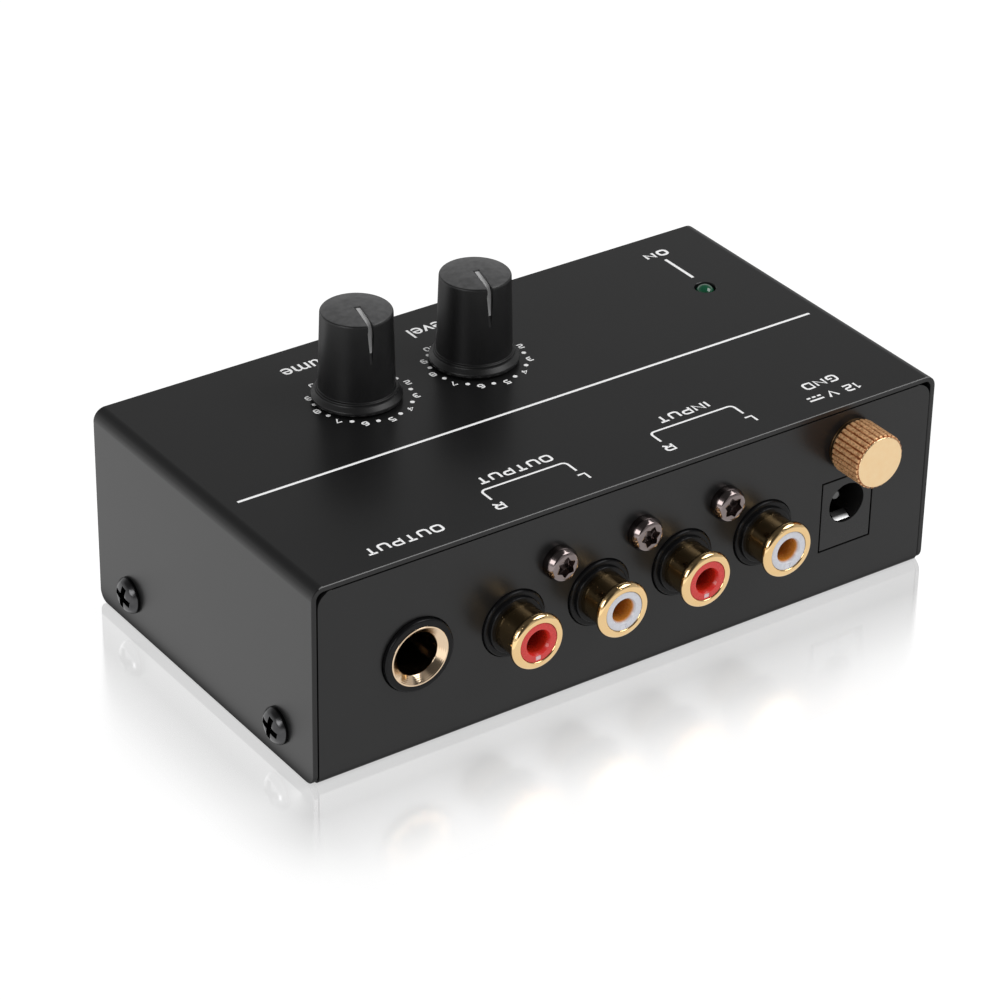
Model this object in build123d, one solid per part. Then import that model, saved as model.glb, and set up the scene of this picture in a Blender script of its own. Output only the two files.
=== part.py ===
from build123d import *
import os

# Bench-top phono preamp in a folded steel case.
# Millimetres, +Z up. The origin is the centre of the case's underside. The user faces the -Y side,
# and the rear panel with its sockets faces +Y. Seen by the user, +X is to the right.

# ---------------------------------------------------------------- driving dimensions
# Case: a U-shaped lid (top and two sides) over a U-shaped tray (front, floor and rear panel)
case_width = 105.0  # over the lid's sides
case_depth = 56.6  # front panel to rear panel, outside
case_height = 31.0  # underside to the lid's top
sheet = 0.8  # steel thickness
lid_bend = 1.9  # outside radius of the lid's bends
tray_bend = 1.3  # outside radius of the tray's bends
seam = 0.15  # air between lid and tray
side_corner = 1.8  # lower corners of the lid's sides
panel_corner = 2.3  # upper corners of the front and rear panels
flange_height = 9.5  # the tray's side flanges
flange_relief = 1.5  # gap between a flange's end and the panel next to it

# Fits
pressed = 0.02  # radial gap of a pressed, threaded or soldered joint
running = 0.05  # radial gap of a turning shaft
passing = 0.15  # gap round a part that passes through a panel
thread_room = 0.4  # depth of a tapped hole past its screw

# Lid screws
lid_screw_radius = 1.5
lid_screw_head = 2.7
lid_screw_head_height = 1.8
lid_screw_bite = 2.0  # thread that shows inside the flange
lid_screw_spacing = 39.0
lid_screw_height = 5.2

# Circuit board and its posts
post_height = 5.6
post_radius = 2.6
post_stem = 2.0
post_inset = 3.2  # post axis to the board's edge
board_thickness = 1.6
board_side_gap = 3.2
board_front_gap = 2.2
board_rear_gap = 1.0
board_screw_radius = 1.25
board_screw_head = 2.3
board_screw_head_height = 1.5
board_screw_length = 5.0
lead_radius = 0.3
lead_tail = 1.3  # lead that shows under the board
lead_root = 1.0  # lead inside a moulded body
tail_half = 0.3  # half the thickness of a flat soldered tail

# Four phono sockets in one housing
phono_first_x = 20.4  # the socket nearest to the output jack
phono_pitch = 14.2
phono_rise = 6.8  # axis over the board
phono_reach = 6.1  # rim's front face from the rear panel
shell_radius = 3.6
shell_wall = 0.3
rim_radius = 4.15
rim_opening = 3.0
rim_length = 1.1
rim_round = 0.3
insert_recess = 0.15
insert_bore = 1.7
funnel_radius = 2.35
funnel_depth = 0.9
key_width = 1.1
key_height = 0.8
key_depth = 0.5
contact_wall = 0.4
contact_bore = 1.5
contact_end = 0.6  # closed end of the contact tube
contact_slit = 0.35
contact_slit_length = 4.5
contact_neck = 0.9  # insert's back to the contact's tail
contact_tail_half = 0.5  # half a tail's width
shell_tail_half = 0.6
shell_tail_grip = 1.0  # tail that lies in the barrel
contact_setback = 4.4  # contact's mouth behind the insert's face
collar_radius = 5.05
collar_reach = 0.45
collar_round = 0.3
collar_step_radius = 4.3
collar_step_reach = 0.95
collar_step_round = 0.2
housing_depth = 9.5
housing_end = 6.6  # end wall from the outer sockets' axes
housing_cap = 3.3  # top wall from the panel screws' axes

# Screws that hold the phono housing to the rear panel
panel_screw_radius = 1.3
panel_screw_head = 2.55
panel_screw_head_height = 2.1
panel_screw_length = 7.0
panel_screw_rise = 7.4  # over the sockets' axes

# 6.35 mm output jack
jack_spacing = 15.6  # from the first phono socket
jack_half_width = 6.4
jack_height = 14.8
jack_depth = 30.0
jack_bore = 3.5
jack_ring_radius = 5.5
jack_ring_reach = 0.7
bushing_radius = 4.5
bushing_bore = 3.25
bushing_mouth = 4.3
bushing_sink = 0.85
bushing_length = 6.5
bushing_mouth_z = 0.8  # mouth from the rear panel
jack_ring_round = 0.3
leaf_length = 6.5
leaf_spread = 0.4  # leaf's ends outside the bore
jack_leaf_mouths = {"sleeve": 8.0, "ring": 16.0, "tip": 23.0}  # free ends behind the panel
jack_leaf_sides = {"sleeve": 1, "ring": -1, "tip": 1}
spring_thickness = 0.3
spring_width = 2.4
spring_bump = 3.05  # the springs' closest point to the axis

# 12 V inlet
inlet_spacing = 15.2  # from the last phono socket
inlet_width = 9.0
inlet_height = 11.0
inlet_depth = 14.2
inlet_rise = 6.7
inlet_bore = 3.1
inlet_bore_depth = 9.5
inlet_pin = 1.0
inlet_pin_root = 1.3  # shoulder in the housing's floor
inlet_pin_recess = 2.2
inlet_tail_half = 1.2  # half the width of the pin's tail
inlet_spring_width = 2.6
inlet_leaf_start = 0.8
inlet_leaf_end = 10.5
inlet_leaf_bump = 2.0  # closest point, behind the panel
inlet_leaf_dip = 0.65  # how far it stands in to the bore
inlet_leaf_relief = 0.15
inlet_flange = 3.4
inlet_step = 0.6
inlet_lip = 0.5  # moulding in front of the leaf
inlet_gap = 0.25  # gap round the inlet in the rear panel

# Ground terminal
ground_rise = -0.1  # from the middle of the space between the inlet and the lid
stud_radius = 1.95
stud_reach = 5.0
stud_end = 0.8  # thread past the inner nut
stud_chamfer = 0.3
stud_flange_radius = 3.9
stud_flange = 0.3
washer_thickness = 0.3
washer_radius = 3.9
terminal_gap = 0.1  # between the flange, the washer and the thumb nut
thumb_nut_radius = 4.15
thumb_nut_face = 6.6  # front face from the rear panel
thumb_nut_wall = 1.2
thumb_nut_chamfer = 0.35
thumb_nut_land = 0.55  # plain ring in front of the knurl
knurl_count = 30
knurl_depth = 0.22
lug_thickness = 0.5
lug_radius = 3.4
lug_reach = 6.5
lug_tongue_half = 0.8
ground_nut_flats = 7.0
ground_nut_height = 2.4
ground_wire_radius = 0.65
ground_wire_drop = 4.6  # hole in the board, from the phono housing's back
ground_wire_bend = 2.0
ground_wire_run = 5.0
ground_wire_rise = 4.0

# Knobs and their potentiometers
knob_pitch = 19.9
knob_setback = 17.1  # shaft axis from the front panel
knob_float = 0.4  # gap between a knob and the lid
knob_height = 14.0
knob_top_radius = 5.15
knob_base_radius = 5.5
knob_dome = 0.55
knob_edge = 0.35
skirt_radius = 6.5
skirt_lip = 0.4
skirt_ring_radius = 5.8
skirt_height = 1.2
knob_socket_depth = 9.5
knob_hollow_radius = 4.4
knob_hollow_depth = 3.0
knob_hub_wall = 1.0
knob_hub_recess = 0.5
skirt_ring_height = 0.25
pointer_angle = 10.5  # clockwise from +Y, seen from above
pointer_width = 1.0
pointer_tip_width = 0.25
pointer_depth = 1.0
pointer_start = 0.1
pointer_start_depth = 0.35
pointer_length = 6.0  # down the knob's side
shaft_radius = 3.0
shaft_hole_gap = 0.75
pot_width = 10.0
pot_depth = 12.0
pot_height = 6.8
pot_floor = 1.8
bushing_plate = 0.8
pot_bushing_radius = 3.9
pot_bushing_height = 4.0
pot_pin_pitch = 2.5
pot_pin_offset = 4.5
pot_corner = 1.0

# Power lamp
lamp_inset = 11.5  # from the lid's left side
lamp_setback = 17.6  # from the front panel
lamp_radius = 1.5
lamp_flange = 1.9
lamp_flange_height = 0.8
lamp_length = 5.2
lamp_rise = 0.4  # top of the dome over the lid
lamp_hole_gap = 0.12
lamp_lead_spacing = 2.54
spacer_radius = 2.3
lamp_post_gap = 5.0  # board post behind the lamp

# Electronics
chip_width = 6.4
chip_length = 9.6
chip_height = 3.3
chip_lift = 0.7
chip_lead_pitch = 2.54
chip_row_spacing = 7.62
chip_spacing = 13.8
chip_notch = 0.8
chip_notch_depth = 0.4
chip_lead_half = 0.5
chip_lead_thickness = 0.25
can_radius = 2.5
can_height = 11.0
can_lead_spacing = 2.0
can_spacing_x = 8.0
can_spacing_y = 7.0
can_round = 0.3
can_groove = (1.2, 1.7)
can_groove_depth = 0.25
film_length = 7.2
film_width = 2.6
film_height = 6.4
film_lead_spacing = 5.0
film_spacing = 3.9
film_jack_gap = 1.0
film_chamfer = 0.3
axial_radius = 1.1
axial_length = 6.3
axial_lead_spacing = 10.0
axial_lift = 0.2
resistor_spacing_x = 13.0
resistor_spacing_y = 3.8
resistor_first_x = -24.0
diode_radius = 1.35
diode_length = 5.0
diode_shift = 1.5  # from the inlet's axis
diode_setback = 12.0  # from the phono housing's back
regulator_radius = 2.3
regulator_height = 4.6
regulator_lift = 2.0
regulator_lead_spacing = 1.27
regulator_flat = 1.3  # flat side from the axis
regulator_spacing = 7.6  # from the lamp

# ---------------------------------------------------------------- derived places
front_y = -case_depth / 2
rear_y = case_depth / 2
panel_in = rear_y - sheet  # rear panel's inner face
tray_half = case_width / 2 - sheet - seam
tray_height = case_height - sheet - seam
flange_in = tray_half - sheet
board_bottom = sheet + post_height
board_top = board_bottom + board_thickness
board_half = flange_in - board_side_gap
board_front = front_y + sheet + board_front_gap
board_rear = panel_in - board_rear_gap
phono_names = ("output_right", "output_left", "input_right", "input_left")
phono_xs = [phono_first_x - i * phono_pitch for i in range(len(phono_names))]
phono_z = board_top + phono_rise
phono_drop = phono_rise + board_thickness + lead_tail  # sockets' axes to the ends of their tails
panel_screw_xs = [(a + b) / 2 for a, b in zip(phono_xs, phono_xs[1:])]
panel_screw_z = phono_z + panel_screw_rise
housing_back = panel_in - housing_depth
jack_x = phono_xs[0] + jack_spacing
jack_z = board_top + jack_height / 2
jack_back = panel_in - jack_depth
inlet_x = phono_xs[-1] - inlet_spacing
inlet_z = board_top + inlet_rise
inlet_drop = inlet_rise + board_thickness + lead_tail
ground_z = (board_top + inlet_height + case_height - sheet) / 2 + ground_rise
ground_wire_x = (inlet_x + inlet_width / 2 + phono_xs[-1] - housing_end) / 2
ground_wire_y = housing_back - ground_wire_drop
washer_base = stud_flange + terminal_gap
thumb_nut_back = washer_base + washer_thickness + terminal_gap
knob_y = front_y + knob_setback
knob_xs = {"volume": knob_pitch, "level": 0.0}
knob_base = case_height + knob_float
lamp_x = lamp_inset - case_width / 2
lamp_y = front_y + lamp_setback
lamp_base = case_height + lamp_rise - lamp_length
post_x = board_half - post_inset
post_spots = [(side * post_x, board_front + post_inset) for side in (-1, 1)]
post_spots += [(-post_x, lamp_y + lamp_post_gap), (post_x, jack_back - post_inset)]
pot_front = knob_y - pot_depth / 2
pot_back = knob_y + pot_depth / 2
aisle_y = (pot_back + housing_back) / 2  # middle of the open strip behind the potentiometers
front_row_y = (board_front + pot_front) / 2
chip_centres = [(knob_xs["level"] + i * chip_spacing, aisle_y) for i in (0, 1)]
can_centres = [
    (phono_xs[3] + i * can_spacing_x / 2, aisle_y + j * can_spacing_y / 2) for i in (-1, 1) for j in (-1, 1)
]
film_x = jack_x - jack_half_width - film_jack_gap - film_length / 2
film_centres = [(film_x, aisle_y + j * film_spacing) for j in (-1, 0, 1)]
resistor_centres = [
    (resistor_first_x + i * resistor_spacing_x, front_row_y + j * resistor_spacing_y / 2)
    for i in range(4)
    for j in (-1, 1)
]
diode_centre = (inlet_x + diode_shift, housing_back - diode_setback)
regulator_centre = (lamp_x + regulator_spacing, knob_y)


# ---------------------------------------------------------------- shapes used by many parts
def block(x, y, z):
    """Box between a low and a high value on each axis."""
    centre = Pos((x[0] + x[1]) / 2, (y[0] + y[1]) / 2, (z[0] + z[1]) / 2)
    return centre * Box(x[1] - x[0], y[1] - y[0], z[1] - z[0])


def disc(radius, low, high):
    """Cylinder round the Z axis between two heights."""
    return Pos(0, 0, low) * Cylinder(radius, high - low, align=(Align.CENTER, Align.CENTER, Align.MIN))


def post(x, y, radius, low, high):
    """Upright cylinder at a place on the plan."""
    return Pos(x, y, 0) * disc(radius, low, high)


def turned(points):
    """Solid of revolution round Z from (radius, height) points."""
    return revolve(Plane.XZ * make_face(Polyline(*points, close=True)), Axis.Z)


def on_rear(x, z, solid):
    """Stand a solid modelled along +Z on the rear panel's outer face."""
    return Pos(x, rear_y, z) * Rot(-90, 0, 0) * solid


def fused(solids):
    """One solid from a list of overlapping or touching ones."""
    result = solids[0]
    for solid in solids[1:]:
        result += solid
    return result


def tape(points, width, height):
    """Thin strip that follows points in the XY plane, as tall as given, centred on Z = 0."""
    line = Polyline(*points)
    return Pos(0, 0, -height / 2) * extrude(trace(line, line_width=width), height)


def write(name, solids):
    """Write one named piece, or a group of like pieces, to its file."""
    group = solids if isinstance(solids, list) else [solids]
    parts = [solid for shape in group for solid in shape.solids()]
    shape = parts[0] if len(parts) == 1 else Compound(children=parts)
    export_step(shape, os.path.join("parts", f"{name}.step"))


def cross_recess(size, depth, top):
    """Cutter for a cross recess that narrows as it goes in."""
    arms = [Rot(0, 0, a) * Pos(0, 0, top - depth / 2) * Box(2 * size, size / 2.6, depth) for a in (0, 90)]
    cone = turned([(0, top - depth), (size, top), (size, top + depth), (0, top + depth)])
    return fused(arms) & cone


def star_recess(size, depth, top):
    """Cutter for a six-pointed recess."""
    triangle = Pos(0, 0, top - depth) * extrude(RegularPolygon(size, 3), 2 * depth)
    return triangle + Rot(0, 0, 60) * triangle


def pan_screw(radius, head, head_height, length):
    """Pan-head screw along Z with its head over Z = 0 and a cross recess."""
    crown = disc(head, 0, head_height)
    crown = fillet(crown.edges().group_by(Axis.Z)[-1], 0.6 * head_height)
    crown -= cross_recess(0.55 * head, 0.6 * head_height, head_height)
    return crown + disc(radius, -length, 0)


def button_screw(radius, head, head_height, length):
    """Button-head screw along Z with its head over Z = 0 and a star recess."""
    crown = disc(head, 0, head_height)
    crown = fillet(crown.edges().group_by(Axis.Z)[-1], 0.75 * head_height)
    crown -= star_recess(0.62 * head, 0.6 * head_height, head_height)
    return crown + disc(radius, -length, 0)


# ---------------------------------------------------------------- case
def top_cover():
    """Lid and both sides, bent from one sheet."""
    half = case_width / 2
    outer = block((-half, half), (front_y, rear_y), (0, case_height))
    outer = fillet(outer.edges().filter_by(Axis.Y).group_by(Axis.Z)[-1], lid_bend)
    hollow_y = (front_y - sheet, rear_y + sheet)
    inner = block((sheet - half, half - sheet), hollow_y, (-sheet, case_height - sheet))
    inner = fillet(inner.edges().filter_by(Axis.Y).group_by(Axis.Z)[-1], max(lid_bend - sheet, 0.05))
    cover = outer - inner
    lower = cover.edges().filter_by(Axis.X).group_by(Axis.Z)[0]
    cover = fillet(lower, side_corner)
    for x in knob_xs.values():
        cover -= post(x, knob_y, shaft_radius + shaft_hole_gap, case_height - 2 * sheet, 2 * case_height)
    cover -= post(lamp_x, lamp_y, lamp_radius + lamp_hole_gap, case_height - 2 * sheet, 2 * case_height)
    for y in (-lid_screw_spacing / 2, lid_screw_spacing / 2):
        across = Pos(0, y, lid_screw_height) * Rot(0, 90, 0)
        cover -= across * disc(lid_screw_radius + passing, -case_width, case_width)
    return cover


def chassis():
    """Front, floor and rear panel from one sheet, with two low side flanges."""
    outer = block((-tray_half, tray_half), (front_y, rear_y), (0, tray_height))
    outer = fillet(outer.edges().filter_by(Axis.X).group_by(Axis.Z)[0], tray_bend)
    outer = fillet(outer.edges().filter_by(Axis.Y).group_by(Axis.Z)[-1], panel_corner)
    inside = block(
        (-case_width, case_width), (front_y + sheet, rear_y - sheet), (sheet, case_height + sheet)
    )
    inside = fillet(inside.edges().filter_by(Axis.X).group_by(Axis.Z)[0], max(tray_bend - sheet, 0.05))
    tray = outer - inside
    ends = (front_y + sheet + flange_relief, rear_y - sheet - flange_relief)
    for side in (-1, 1):
        edge = sorted((side * tray_half, side * (tray_half - tray_bend)))
        tray -= block(edge, ends, (-sheet, 2 * sheet))
    trough = block((-tray_half, tray_half), ends, (0, flange_height))
    trough = fillet(trough.edges().filter_by(Axis.Y).group_by(Axis.Z)[0], tray_bend)
    hollow = block((-flange_in, flange_in), (front_y, rear_y), (sheet, case_height))
    hollow = fillet(hollow.edges().filter_by(Axis.Y).group_by(Axis.Z)[0], max(tray_bend - sheet, 0.05))
    tray += trough - hollow
    for y in (-lid_screw_spacing / 2, lid_screw_spacing / 2):
        across = Pos(0, y, lid_screw_height) * Rot(0, 90, 0)
        tray -= across * disc(lid_screw_radius + pressed, -case_width, case_width)
    for x, y in post_spots:
        tray -= post(x, y, post_stem + pressed, -sheet, 2 * sheet)
    for x in phono_xs:
        tray -= on_rear(x, phono_z, disc(collar_radius + passing, -2 * sheet, sheet))
    for x in panel_screw_xs:
        tray -= on_rear(x, panel_screw_z, disc(panel_screw_radius + passing, -2 * sheet, sheet))
    tray -= on_rear(jack_x, jack_z, disc(jack_ring_radius + passing, -2 * sheet, sheet))
    tray -= on_rear(inlet_x, ground_z, disc(stud_radius + passing, -2 * sheet, sheet))
    tray -= block(
        (inlet_x - inlet_width / 2 - inlet_gap, inlet_x + inlet_width / 2 + inlet_gap),
        (panel_in - sheet, rear_y + sheet),
        (board_top - inlet_gap, board_top + inlet_height + inlet_gap),
    )
    return tray


def cover_screws():
    """Two screws through each side of the lid into the tray's flanges."""
    screw = pan_screw(
        lid_screw_radius, lid_screw_head, lid_screw_head_height, 2 * sheet + seam + lid_screw_bite
    )
    return [
        Pos(side * case_width / 2, y, lid_screw_height) * Rot(0, 90 * side, 0) * screw
        for side in (-1, 1)
        for y in (-lid_screw_spacing / 2, lid_screw_spacing / 2)
    ]


def board_standoffs():
    """Hexagonal posts swaged into the floor, tapped from above."""
    body = Pos(0, 0, sheet) * extrude(RegularPolygon(post_radius, 6), post_height)
    body += disc(post_stem, 0, sheet)
    depth = board_screw_length - board_thickness + thread_room
    body -= disc(board_screw_radius + pressed, board_bottom - depth, board_bottom + sheet)
    return [Pos(x, y, 0) * body for x, y in post_spots]


def board_screws():
    """Screws through the board into the posts."""
    screw = pan_screw(board_screw_radius, board_screw_head, board_screw_head_height, board_screw_length)
    return [Pos(x, y, board_top) * screw for x, y in post_spots]


# ---------------------------------------------------------------- phono sockets
def phono_housing():
    """One black moulding with a stepped collar round each socket."""
    low_x = phono_xs[-1] - housing_end
    high_x = phono_xs[0] + housing_end
    body = block((low_x, high_x), (housing_back, panel_in), (board_top, panel_screw_z + housing_cap))
    collar = disc(collar_radius, -2 * sheet, collar_reach)
    collar = fillet(collar.edges().group_by(Axis.Z)[-1], collar_round)
    step = disc(collar_step_radius, 0, collar_step_reach)
    step = fillet(step.edges().group_by(Axis.Z)[-1], collar_step_round)
    bore = disc(shell_radius + pressed, -case_depth, 2 * collar_step_reach)
    for x in phono_xs:
        body += on_rear(x, phono_z, collar + step)
        body -= on_rear(x, phono_z, bore)
    for x in panel_screw_xs:
        pilot = disc(panel_screw_radius + pressed, -panel_screw_length - thread_room, sheet)
        body -= on_rear(x, panel_screw_z, pilot)
    return body


def phono_shell():
    """Drawn metal barrel with a rolled rim, and a tail that is soldered to the board."""
    inner_end = -sheet - housing_depth
    barrel = disc(shell_radius, inner_end, phono_reach - rim_length / 2)
    barrel += fillet(disc(rim_radius, phono_reach - rim_length, phono_reach).edges(), rim_round)
    barrel -= disc(rim_opening, -case_depth, case_depth)
    barrel -= disc(shell_radius - shell_wall, -case_depth, phono_reach - rim_length)
    low = shell_radius - shell_wall
    sides = (-shell_tail_half, shell_tail_half)
    tail = block(sides, (low, phono_drop), (inner_end - 2 * tail_half, inner_end))
    grip = block(sides, (0, shell_radius), (inner_end - 2 * tail_half, inner_end + shell_tail_grip))
    grip &= disc(shell_radius, -case_depth, 0) - disc(low, -case_depth, 0)
    return barrel + tail + grip


def phono_insert():
    """Coloured insulator with a funnel mouth and a key notch."""
    face = phono_reach - insert_recess
    neck = phono_reach - rim_length - pressed
    back = -sheet - housing_depth
    body = disc(shell_radius - shell_wall - pressed, back, neck)
    body += disc(rim_opening - pressed, back, face)
    throat = face - funnel_depth
    body -= turned([(0, throat), (insert_bore, throat), (funnel_radius, face), (0, face)])
    body -= disc(insert_bore, -case_depth, case_depth)
    body -= disc(contact_bore + contact_wall + pressed, -case_depth, face - contact_setback)
    notch = (funnel_radius - 0.15, funnel_radius - 0.15 + key_height)
    body -= block((-key_width / 2, key_width / 2), notch, (face - key_depth, face + key_depth))
    return body


def phono_contact():
    """Tubular centre contact with a closed end and a soldered tail."""
    back = -sheet - housing_depth
    mouth = phono_reach - insert_recess - contact_setback
    radius = contact_bore + contact_wall
    body = disc(radius, back - contact_end, mouth) - disc(contact_bore, back, mouth + sheet)
    slit = Pos(0, 0, mouth) * Box(3 * radius, contact_slit, 2 * contact_slit_length)
    tail_z = (back - contact_neck - 2 * tail_half, back - contact_neck)
    tail = block((-contact_tail_half, contact_tail_half), (0, phono_drop), tail_z)
    return body - slit + tail + disc(contact_tail_half, tail_z[0], back)


def panel_screws():
    """Button-head screws through the rear panel into the phono housing."""
    screw = button_screw(panel_screw_radius, panel_screw_head, panel_screw_head_height, panel_screw_length)
    return [on_rear(x, panel_screw_z, screw) for x in panel_screw_xs]


# ---------------------------------------------------------------- output jack
# Frame of a contact leaf: X is depth behind the rear panel, Y is distance from the jack's axis.
def jack_leaf_points(name):
    """Route of a leaf that leans in to the bore and out again, from its free to its fixed end."""
    mouth = jack_leaf_mouths[name]
    out = jack_bore + leaf_spread
    return [
        (mouth, out),
        (mouth + 0.2 * leaf_length, spring_bump + spring_thickness / 2),
        (mouth + 0.4 * leaf_length, out),
        (mouth + leaf_length, out + 2 * leaf_spread),
    ]


def in_jack(name, solid):
    """Place a solid from a leaf's frame on its own side of the output jack."""
    side = jack_leaf_sides[name]
    frame = Plane(origin=(0, 0, 0), x_dir=(0, 0, -1), z_dir=(0, -side, 0))
    return on_rear(jack_x, jack_z, frame.location * solid)


def jack_leaf_tail(name, gap):
    """Soldered tail at a leaf's fixed end, grown by a gap on every side but its ends."""
    depth, distance = jack_leaf_points(name)[-1]
    half = spring_thickness / 2 + gap
    drop = jack_z - board_bottom + lead_tail
    along = sorted((-jack_leaf_sides[name] * drop, jack_leaf_sides[name] * spring_width / 2))
    room = tail_half + gap
    return block((depth - room, depth + room), (distance - half, distance + half), along)


def jack_leaf(name):
    """One contact leaf of the output jack."""
    leaf = tape(jack_leaf_points(name), spring_thickness, spring_width)
    return in_jack(name, leaf + jack_leaf_tail(name, 0))


def jack_leaf_slot(name):
    """Room in the jack's body for one contact leaf and its tail."""
    points = jack_leaf_points(name)
    top = points[-1][1] + spring_thickness / 2 + passing
    room = spring_width / 2 + passing
    slot = block((points[0][0] - passing, points[-1][0] + tail_half + passing), (0, top), (-room, room))
    return in_jack(name, slot + jack_leaf_tail(name, passing))


def output_jack_housing():
    """Black jack body with a ring that passes through the rear panel."""
    sides = (jack_x - jack_half_width, jack_x + jack_half_width)
    body = block(sides, (jack_back, panel_in), (board_top, board_top + jack_height))
    ring = disc(jack_ring_radius, -2 * sheet, jack_ring_reach)
    ring = fillet(ring.edges().group_by(Axis.Z)[-1], jack_ring_round)
    body += on_rear(jack_x, jack_z, ring)
    body -= on_rear(jack_x, jack_z, disc(jack_bore, -case_depth, case_depth))
    seat = disc(bushing_radius + pressed, bushing_mouth_z - bushing_length, 2 * bushing_mouth_z)
    body -= on_rear(jack_x, jack_z, seat)
    for name in jack_leaf_mouths:
        body -= jack_leaf_slot(name)
    return body


def output_jack_bushing():
    """Turned bushing with a wide countersink."""
    body = disc(bushing_radius, bushing_mouth_z - bushing_length, bushing_mouth_z)
    body -= disc(bushing_bore, -case_depth, case_depth)
    sink = [(0, -bushing_sink), (bushing_bore, -bushing_sink), (bushing_mouth, 0), (0, 0)]
    body -= Pos(0, 0, bushing_mouth_z) * turned(sink)
    return on_rear(jack_x, jack_z, body)


# ---------------------------------------------------------------- 12 V inlet
# In the rear panel's frame +Y points down, so a distance below the axis is positive.
inlet_leaf_points = [
    (inlet_leaf_start, inlet_bore + inlet_leaf_relief),
    (inlet_leaf_bump, inlet_bore - inlet_leaf_dip),
    (2 * inlet_leaf_bump - inlet_leaf_start, inlet_bore + 2 * inlet_leaf_relief),
    (inlet_leaf_end, inlet_bore + 2 * inlet_leaf_relief),
]


def inlet_leaf_tail(gap):
    """Soldered tail of the inlet's spring, grown by a gap on every side but its ends."""
    depth, distance = inlet_leaf_points[-1]
    half = inlet_spring_width / 2 + gap
    room = tail_half + gap
    return block((-half, half), (distance, inlet_drop), (-depth - room, -depth + room))


def dc_inlet_housing():
    """Rectangular inlet body, flush with the rear panel."""
    half = inlet_width / 2
    top = inlet_rise - inlet_height
    body = block((-half, half), (top, inlet_rise), (-inlet_flange, 0))
    body += block((inlet_step - half, half - inlet_step), (top + inlet_step, inlet_rise), (-inlet_depth, 0))
    body -= disc(inlet_bore, -inlet_bore_depth, sheet)
    body -= disc(inlet_pin_root + pressed, -case_depth, sheet)
    room = inlet_spring_width / 2 + passing
    floor = inlet_leaf_points[-1][1] + spring_thickness / 2 + passing
    back = -inlet_leaf_end - tail_half - passing
    body -= block((-room, room), (0.8 * inlet_bore, floor), (back, -inlet_lip))
    body -= inlet_leaf_tail(passing)
    return on_rear(inlet_x, inlet_z, body)


def dc_inlet_pin():
    """Centre pin with a rounded tip and a flat tail behind the housing."""
    end = -inlet_depth - 2 * tail_half
    pin = disc(inlet_pin, end, -inlet_pin_recess)
    pin = fillet(pin.edges().group_by(Axis.Z)[-1], 0.6 * inlet_pin)
    pin += disc(inlet_pin_root, end, -inlet_bore_depth)
    pin += block((-inlet_tail_half, inlet_tail_half), (-inlet_pin, inlet_drop), (end, -inlet_depth))
    return on_rear(inlet_x, inlet_z, pin)


def dc_inlet_spring():
    """Leaf under the bore that bears on the plug's sleeve."""
    leaf = Rot(0, 90, 0) * tape(inlet_leaf_points, spring_thickness, inlet_spring_width)
    return on_rear(inlet_x, inlet_z, leaf + inlet_leaf_tail(0))


# ---------------------------------------------------------------- ground terminal
def on_ground(solid):
    """Stand a solid on the rear panel at the ground terminal."""
    return on_rear(inlet_x, ground_z, solid)


def ground_stud():
    """Threaded stud with a round flange outside the panel."""
    inner_end = -sheet - lug_thickness - ground_nut_height - stud_end
    body = disc(stud_radius, inner_end, stud_reach)
    body = chamfer(body.edges().group_by(Axis.Z)[-1], stud_chamfer)
    return on_ground(body + disc(stud_flange_radius, 0, stud_flange))


def ground_washer():
    """Loose washer that clamps a fork terminal and follows the thumb nut."""
    body = disc(washer_radius, washer_base, washer_base + washer_thickness)
    return on_ground(body - disc(stud_radius + terminal_gap, 0, thumb_nut_face))


def ground_thumb_nut():
    """Closed thumb nut with a straight knurl and a bright flat face."""
    body = disc(thumb_nut_radius, thumb_nut_back, thumb_nut_face)
    body = chamfer(body.edges().filter_by(GeomType.CIRCLE), thumb_nut_chamfer)
    side = knurl_depth * 2**0.5
    groove = Rot(0, 0, 45) * Box(side, side, 2 * (thumb_nut_face - thumb_nut_land - thumb_nut_back))
    for i in range(knurl_count):
        body -= Rot(0, 0, i * 360 / knurl_count) * Pos(thumb_nut_radius, 0, thumb_nut_back) * groove
    body -= disc(stud_radius + running, 0, thumb_nut_face - thumb_nut_wall)
    return on_ground(body)


def ground_lug():
    """Ring terminal with a tongue for the wire."""
    z = (-sheet - lug_thickness, -sheet)
    body = disc(lug_radius, *z) + block((0, lug_reach), (-lug_tongue_half, lug_tongue_half), z)
    return on_ground(body - disc(stud_radius + pressed, -case_depth, case_depth))


def ground_hex_nut():
    """Nut that clamps the stud and the lug to the panel."""
    prism = extrude(RegularPolygon(ground_nut_flats / 2, 6, major_radius=False), ground_nut_height)
    prism = Pos(0, 0, -sheet - lug_thickness - ground_nut_height) * prism
    return on_ground(prism - disc(stud_radius + pressed, -case_depth, case_depth))


def ground_wire():
    """Insulated wire from the lug to the board, behind the inlet."""
    start_x = inlet_x + lug_reach
    start_y = panel_in - lug_thickness - ground_wire_radius
    points = [
        (start_x, start_y, ground_z),
        (start_x, start_y - ground_wire_run, ground_z),
        (ground_wire_x, start_y - 2 * ground_wire_run, ground_z - ground_wire_run),
        (ground_wire_x, ground_wire_y, board_top + ground_wire_rise),
        (ground_wire_x, ground_wire_y, board_bottom - lead_tail),
    ]
    route = FilletPolyline(*points, radius=ground_wire_bend)
    section = Plane(origin=route @ 0, z_dir=route % 0) * Circle(ground_wire_radius)
    return sweep(section, path=route)


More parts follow.
